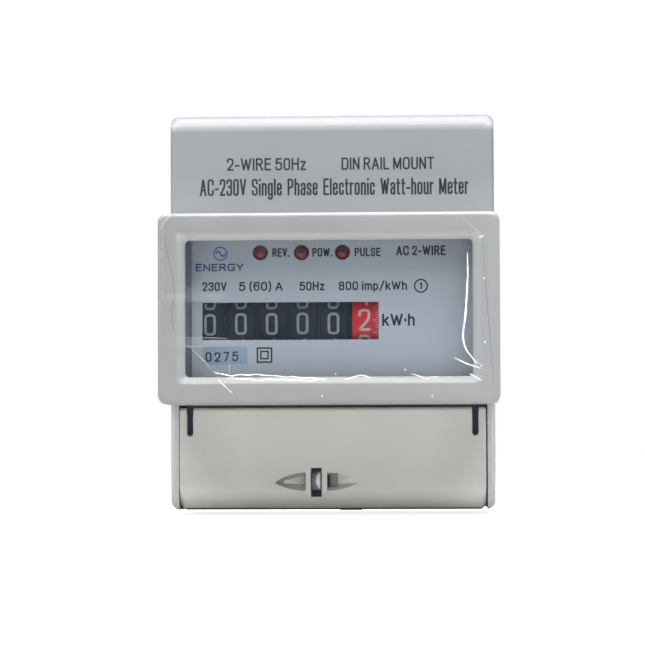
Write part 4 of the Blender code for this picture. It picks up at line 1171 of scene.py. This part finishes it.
def drum_figure(number, x, axis_y, axis_z, radius, angle):
    """One figure wrapped on a drum; angle runs from the front downwards."""
    bm = figure(number, DIGIT_W, DIGIT_H, DIGIT_STROKE, (0.02, -0.03))
    for v in bm.verts:
        turn = angle - v.co.z / radius
        reach = radius - v.co.y
        v.co = Vector((x + v.co.x, axis_y - reach * math.cos(turn), axis_z - reach * math.sin(turn)))
    return bm


def make_drum(index):
    node = DRUMS[index]
    low, high = box_mm(node)
    axis_y, axis_z = (low.y + high.y) / 2, (low.z + high.z) / 2
    radius = (high.z - low.z) / 2
    rim = 0.0 if index == 0 else 0.9
    profile = [(low.x, 2.1), (low.x, radius - 0.06), (low.x + 0.06, radius), (high.x - rim - 0.06, radius),
               (high.x - rim, radius - 0.06)]
    if rim:
        profile += [(high.x - rim, 8.5), (high.x, 8.5)]
    profile.append((high.x, 2.1))
    drum = lathe(f"drum_{index}", "X", (axis_y, axis_z), profile, 120, ring=True)
    dress(drum, DRUM_RED if index == 0 else DRUM_BLACK, DRUM_BODIES[index], [node])
    x = (low.x + high.x) / 2 + DIGIT_OFFSET
    for digit in range(10):
        angle = math.radians((digit - READING[index]) * 36 + DIGIT_TILT[index])
        bm = drum_figure(digit, x, axis_y, axis_z, radius, angle)
        dress(finish_mesh(f"digit_{index}_{digit}", bm), DIGIT_INK if index else FAST_INK, DRUM_BODIES[index])
    if index == 0:
        make_drum_scale(x, axis_y, axis_z, radius)


def make_drum_scale(x, axis_y, axis_z, radius):
    """Tick marks on the fastest drum: ten to a digit, every fifth one longer."""
    bm = bmesh.new()
    for tick in range(100):
        angle = math.radians(tick * 3.6 + DIGIT_TILT[0])
        length = 1.1 if tick % 5 == 0 else 0.6
        half = 0.09 / radius
        corners = []
        for reach in (radius - 0.03, radius + 0.03):
            for turn, along in ((-half, 3.1 - length), (half, 3.1 - length), (half, 3.1), (-half, 3.1)):
                y = axis_y - reach * math.cos(angle + turn)
                z = axis_z - reach * math.sin(angle + turn)
                corners.append(bm.verts.new((x + along, y, z)))
        bm.faces.new(corners[:4])
        bm.faces.new(corners[4:])
        bridge(bm, corners[:4], corners[4:])
    dress(finish_mesh("drum_scale", bm), FAST_INK, DRUM_BODIES[0])


# ------------------------------------------------------------------ indicators and seal lug

def make_seal_lug():
    """Sleeve of the sealing lug that stands in the cover's slot."""
    front = COVER_FRONT
    half_w, half_h = 0.93, 2.45
    middle = SEAL_Z + LUG_RISE
    outline = [(front + 8, middle - half_h), (front + 8, middle + half_h)]
    outline += arc((front + 2.5, middle), half_h, 90, 270, 20)
    lug = ease(prism("seal_lug", "X", outline, (SEAL_X - half_w, SEAL_X + half_w)), 0.2)
    carve(lug, rod("lug_hole", "X", (front + 1.4, SEAL_Z), 0.65, (SEAL_X - 3, SEAL_X + 3), 24))
    dress(lug, LUG_GREY)


def make_indicators():
    for number, (x, z) in enumerate(indicator_spots(), 1):
        low, high = box_mm(f"indicator_{number}")
        tip, radius = low.y, 1.6
        turns = [math.radians(degrees) for degrees in range(90, -1, -10)]
        dome = [(tip + radius * (1 - math.sin(t)), max(0.02, radius * math.cos(t))) for t in turns]
        profile = dome + [(tip + 3.6, radius), (tip + 3.7, 1.95), (tip + 4.6, 1.95), (tip + 4.6, 0.02)]
        dress(lathe(f"indicator_lens_{number}", "Y", (x, z), profile, 48), INDICATOR,
              nodes=[f"indicator_{number}"])
        for side in (-1, 1):
            leg = (x + side * 1.27 - 0.25, x + side * 1.27 + 0.25)
            wire = block(f"indicator_leg_{number}_{side + 2}", leg, (tip + 4.6, high.y), (z - 0.25, z + 0.25))
            dress(wire, ZINC)


# ------------------------------------------------------------------ protective film

def make_film():
    low, high = box_mm("protective_film")
    columns, rows = 160, 90
    bm = bmesh.new()
    front = high.y - 0.12
    grid = []
    for j in range(rows + 1):
        z = low.z + (high.z - low.z) * j / rows
        row = []
        for i in range(columns + 1):
            x = low.x + (high.x - low.x) * i / columns
            ripple = 0.06 * noise.noise(Vector((x * 0.11, z * 0.2, 3.0)))
            row.append(bm.verts.new((x, front + ripple, z)))
        grid.append(row)
    for j in range(rows):
        for i in range(columns):
            bm.faces.new((grid[j][i], grid[j][i + 1], grid[j + 1][i + 1], grid[j + 1][i]))
    film = finish_mesh("film_sheet", bm)
    skin = film.modifiers.new("skin", "SOLIDIFY")
    skin.thickness = 0.05 * MM
    bake(film)
    smooth(film.data, 180)
    dress(film, FILM, nodes=["protective_film"])


# Creases in the film: name, look (painted highlight, sheen or shade line), widest width, sideways sway, and
# the (x, z) points they run through.
CREASES = (
    ("streak_right", "bright", 0.4, 0.04, ((30.8, 12.0), (30.9, 7.9), (30.7, 3.2), (30.3, -2.0), (29.8, -6.1),
                                           (30.3, -9.1), (31.5, -10.8), (32.8, -12.5))),
    ("streak_tail", "soft", 0.14, 0.05, ((31.4, -10.7), (33.9, -13.1))),
    ("streak_low", "bright", 0.28, 0.1, ((27.7, -11.2), (30.9, -12.6), (33.7, -13.6))),
    ("streak_corner", "bright", 0.26, 0.05, ((31.2, -14.7), (33.8, -16.3))),
    ("wave_upper", "bright", 0.26, 0.22, ((-24.9, -14.6), (-12.0, -15.0), (-0.8, -15.9))),
    ("wave_lower", "bright", 0.32, 0.26, ((-22.5, -15.6), (-12.0, -15.9), (-0.8, -16.0))),
    ("wave_blob", "bright", 0.42, 0.05, ((-5.5, -15.4), (-0.6, -15.9))),
    ("wave_middle", "bright", 0.3, 0.12, ((3.6, -15.9), (7.0, -15.1), (9.4, -15.5))),
    ("wave_right", "bright", 0.24, 0.3, ((18.2, -15.1), (24.5, -15.7))),
    ("wave_right_low", "soft", 0.2, 0.1, ((19.2, -15.5), (24.2, -15.8))),
    ("tail_left", "bright", 0.17, 0.05, ((-24.5, -15.8), (-21.3, -18.8))),
    ("fan_left", "bright", 0.2, 0.08, ((-25.6, -14.0), (-20.9, -15.3))),
    ("fan_low", "soft", 0.14, 0.06, ((-25.7, -13.8), (-21.8, -18.5))),
    ("fan_upper", "soft", 0.12, 0.1, ((-22.1, -11.5), (-21.9, -15.0))),
    ("triangle", "soft", 0.14, 0.12, ((-31.7, -7.9), (-27.7, -11.4), (-25.7, -13.8))),
    ("fold_upper", "soft", 0.09, 0.06, ((-33.9, -6.4), (-23.7, -6.6), (-22.3, -7.2))),
    ("fold_lower", "soft", 0.12, 0.05, ((-32.8, -8.4), (-26.4, -8.5))),
    ("corner_fold", "soft", 0.26, 0.04, ((-37.3, 17.7), (-35.3, 20.5), (-33.0, 20.85))),
    ("corner_streak", "soft", 0.16, 0.04, ((29.7, 20.0), (33.2, 16.6))),
    ("corner_spot", "bright", 0.24, 0.0, ((33.4, 15.3), (34.5, 15.8))),
    ("crease_left", "shade", 0.09, 0.15, ((-36.5, 16.0), (-34.2, 4.6), (-34.8, -1.4), (-33.9, -6.2))),
    ("crease_right", "shade", 0.09, 0.15, ((34.2, 14.9), (35.0, 3.0), (36.5, -17.0))),
)
SPECKS = ((34.5, 6.3), (34.6, -7.8), (22.9, -19.6), (-1.4, -19.5), (1.6, -14.7), (17.0, -13.8), (33.8, -13.0))


def spline(points, steps=8):
    """Smooth curve through points."""
    points = [Vector(p) for p in points]
    ends = [points[0] * 2 - points[1], *points, points[-1] * 2 - points[-2]]
    curve = []
    for a, b, c, d in zip(ends, ends[1:], ends[2:], ends[3:]):
        for i in range(steps):
            t = i / steps
            curve.append(0.5 * (2 * b + (c - a) * t + (2 * a - 5 * b + 4 * c - d) * t ** 2
                                + (3 * b - a - 3 * c + d) * t ** 3))
    return curve + [points[-1]]


def make_creases():
    """Ridges pressed into the film, drawn as thin tapering strips just above it in painted highlight, sheen
    or shade.
    """
    looks = {"bright": CREASE_HIGHLIGHT, "soft": CREASE_SHEEN, "shade": CREASE_SHADE}
    y = box_mm("protective_film")[0].y
    for order, (name, look, width, sway, points) in enumerate(CREASES):
        path = refine(spline(points), 0.5)
        last = len(path) - 1
        widths = []
        for i, point in enumerate(path):
            point += Vector((noise.noise(Vector((point.y * 0.5, order, 2.0))),
                             noise.noise(Vector((point.x * 0.35, order, 9.0))))) * sway * 2
            taper = math.sin(math.pi * (0.04 + 0.92 * i / last)) ** 0.6
            uneven = 1 + 0.55 * noise.noise(Vector((point.x * 0.9, point.y * 0.9, order * 7.1)))
            widths.append(max(0.04, width * taper * uneven))
        bm = bmesh.new()
        ribbon(bm, path, widths, False, (y + 0.02, y - 0.03))
        dress(finish_mesh(f"film_{name}", bm), looks[look]).visible_shadow = False


def make_beads():
    """Heat-seal beads along the left edge of the film in painted sheen, and a few loose specks as painted
    glints.
    """
    y = box_mm("protective_film")[0].y
    beads = []
    for i in range(40):
        z = 19.3 - i * 0.43
        sway = noise.noise(Vector((z * 1.7, 0.3, 5.0)))
        size = 0.12 + 0.14 * noise.noise(Vector((z * 3.1, 4.0, 1.0)))
        if size > 0.09:
            beads.append((-36.8 + 0.3 * sway, z, size))
    specks = [(x, z, 0.2) for x, z in SPECKS]
    for name, spots, look in (("film_beads", beads, CREASE_SHEEN), ("film_specks", specks, CREASE_HIGHLIGHT)):
        bm = bmesh.new()
        for x, z, size in spots:
            place = Matrix.Translation((x, y, z)) @ Matrix.Diagonal((0.8, 0.25, 1.2, 1))
            bmesh.ops.create_icosphere(bm, subdivisions=1, radius=size, matrix=place)
        dress(finish_mesh(name, bm), look)


# ------------------------------------------------------------------ CAD nodes kept as they are

KEPT = {
    "rail_latch_spring": ZINC, "register_frame": NYLON,
    "drum_shaft": ZINC, "pinion_shaft": ZINC, "drive_gear": NYLON, "motor_rotor": DARK,
    "motor_yoke": ZINC, "motor_coil": COPPER, "main_board": BOARD, "dropper_capacitor": YELLOW,
    "electrolytic_capacitor": DARK, "varistor": BLUE, "metering_chip": DARK, "optocoupler": DARK,
    "crystal": ZINC, "terminal_block": DARK, "current_shunt": COPPER, "neutral_link": BRASS,
}
REPEATED = (
    ("transfer_pinion", 5, NYLON), ("main_clamp", 4, BRASS), ("main_screw", 4, ZINC),
    ("pulse_clamp", 2, BRASS), ("pulse_screw", 2, ZINC),
)
for kind, count, look in REPEATED:
    KEPT.update({f"{kind}_{number}": look for number in range(1, count + 1)})


def finish_kept_nodes():
    for node, material in KEPT.items():
        coat(frame["nodes"][node], material)


# ------------------------------------------------------------------ studio

def area_light(name, place, aim, size, power):
    lamp = bpy.data.lights.new(name, "AREA")
    lamp.shape = "RECTANGLE"
    lamp.size, lamp.size_y = size
    lamp.energy = power
    item = bpy.data.objects.new(name, lamp)
    item.location = place
    item.rotation_euler = (Vector(aim) - Vector(place)).to_track_quat("-Z", "Y").to_euler()
    bpy.context.scene.collection.objects.link(item)
    return item


def floor_material():
    """Pale sweep: the camera sees it almost white with a faint contact shadow, the meter sees it dim."""
    s = Surface("pale_floor", (0.5, 0.5, 0.5), 0.8)
    s.tint(s.noise(3, 2), 0.02)
    glow = s.node("ShaderNodeEmission")
    reach = s.node("ShaderNodeVectorMath", operation="LENGTH")
    s.feed(reach.inputs[0], s.place)
    s.feed(glow.inputs["Strength"], s.ramp(reach.outputs["Value"], 0.1, 0.5, *FLOOR_GLOW))
    seen = s.node("ShaderNodeAddShader")
    s.tree.links.new(s.shader.outputs[0], seen.inputs[0])
    s.tree.links.new(glow.outputs[0], seen.inputs[1])
    path = s.node("ShaderNodeLightPath")
    mixer = s.node("ShaderNodeMixShader")
    s.tree.links.new(path.outputs["Is Camera Ray"], mixer.inputs[0])
    s.tree.links.new(s.shader.outputs[0], mixer.inputs[1])
    s.tree.links.new(seen.outputs[0], mixer.inputs[2])
    s.tree.links.new(mixer.outputs[0], s.output.inputs["Surface"])
    return s.material


FLOOR_GLOW = (0.84, 1.0)     # beside the meter and far away
AMBIENT = 0.126
SOFTBOXES = (                # name, place, aim, size, power
    ("key", (-0.45, -0.95, 0.75), (0, 0, 0), (0.9, 0.7), 0.94),
    ("top", (0.0, -0.05, 0.8), (0, 0, 0), (1.2, 0.8), 20.2),
    ("over", (0.0, -0.6, 0.8), (0, 0, 0), (1.2, 0.5), 7.15),
    ("right", (0.9, -0.45, 0.05), (0, 0, 0), (0.6, 0.6), 1.0),
    ("left", (-0.9, -0.45, 0.05), (0, 0, 0), (0.6, 0.6), 0.85),
    ("front", (0.1, -1.2, -0.08), (0, 0, -0.01), (1.0, 0.36), 0.98),
)


def make_studio():
    low = CAD_BOX[0]
    half = 6.0
    bm = bmesh.new()
    corners = ((-1, -1), (1, -1), (1, 1), (-1, 1))
    bm.faces.new([bm.verts.new((x * half, y * half, low[2] - 0.0003)) for x, y in corners])
    floor = finish_mesh("floor", bm, 1.0)
    floor.data.materials.append(floor_material())
    floor.visible_shadow = False

    lamps = [area_light(*softbox) for softbox in SOFTBOXES]
    lamps[-1].visible_glossy = False         # the front one would mirror in the window

    world = bpy.data.worlds.new("studio")
    bpy.context.scene.world = world
    world.use_nodes = True
    tree = world.node_tree
    tree.nodes.clear()
    path = tree.nodes.new("ShaderNodeLightPath")
    ambient = tree.nodes.new("ShaderNodeBackground")
    ambient.inputs["Strength"].default_value = AMBIENT
    seen = tree.nodes.new("ShaderNodeBackground")
    seen.inputs["Strength"].default_value = 1.0
    for background in (ambient, seen):
        background.inputs["Color"].default_value = (1, 1, 1, 1)
    mixer = tree.nodes.new("ShaderNodeMixShader")
    out = tree.nodes.new("ShaderNodeOutputWorld")
    tree.links.new(path.outputs["Is Camera Ray"], mixer.inputs[0])
    tree.links.new(ambient.outputs[0], mixer.inputs[1])
    tree.links.new(seen.outputs[0], mixer.inputs[2])
    tree.links.new(mixer.outputs[0], out.inputs[0])


CAMERA_AZIMUTH = 2.773       # degrees to the right of straight ahead
CAMERA_ELEVATION = -2.55
CAMERA_ROLL = -0.198
CAMERA_DISTANCE = 0.6614
CAMERA_AIM = Vector((-0.00177, -0.050, -0.00281))
CAMERA_LENS = 164.17
CAMERA_SENSOR = 36


def make_camera():
    azimuth, elevation = math.radians(CAMERA_AZIMUTH), math.radians(CAMERA_ELEVATION)
    back = Vector((math.sin(azimuth) * math.cos(elevation), -math.cos(azimuth) * math.cos(elevation),
                   math.sin(elevation)))
    right = Vector((0, 0, 1)).cross(back).normalized()
    up = back.cross(right)
    axes = Matrix((right, up, back)).transposed().to_4x4()
    data = bpy.data.cameras.new("camera")
    data.lens = CAMERA_LENS
    data.sensor_width = CAMERA_SENSOR
    camera = bpy.data.objects.new("camera", data)
    roll = Matrix.Rotation(math.radians(CAMERA_ROLL), 4, "Z")
    camera.matrix_world = Matrix.Translation(CAMERA_AIM + back * CAMERA_DISTANCE) @ axes @ roll
    bpy.context.scene.collection.objects.link(camera)
    bpy.context.scene.camera = camera


# ------------------------------------------------------------------ build

finish_kept_nodes()
make_bezel()
make_lens()
make_front_housing()
make_rear_base()
make_housing_screws()
make_rail_latch()
make_cover()
make_nameplate()
make_plate_backing()
make_plate_print()
make_tier_print()
for drum_index in range(len(DRUMS)):
    make_drum(drum_index)
make_indicators()
make_seal_lug()
make_film()
make_creases()
make_beads()
make_studio()
make_camera()
bpy.context.scene.view_settings.view_transform = "Standard"
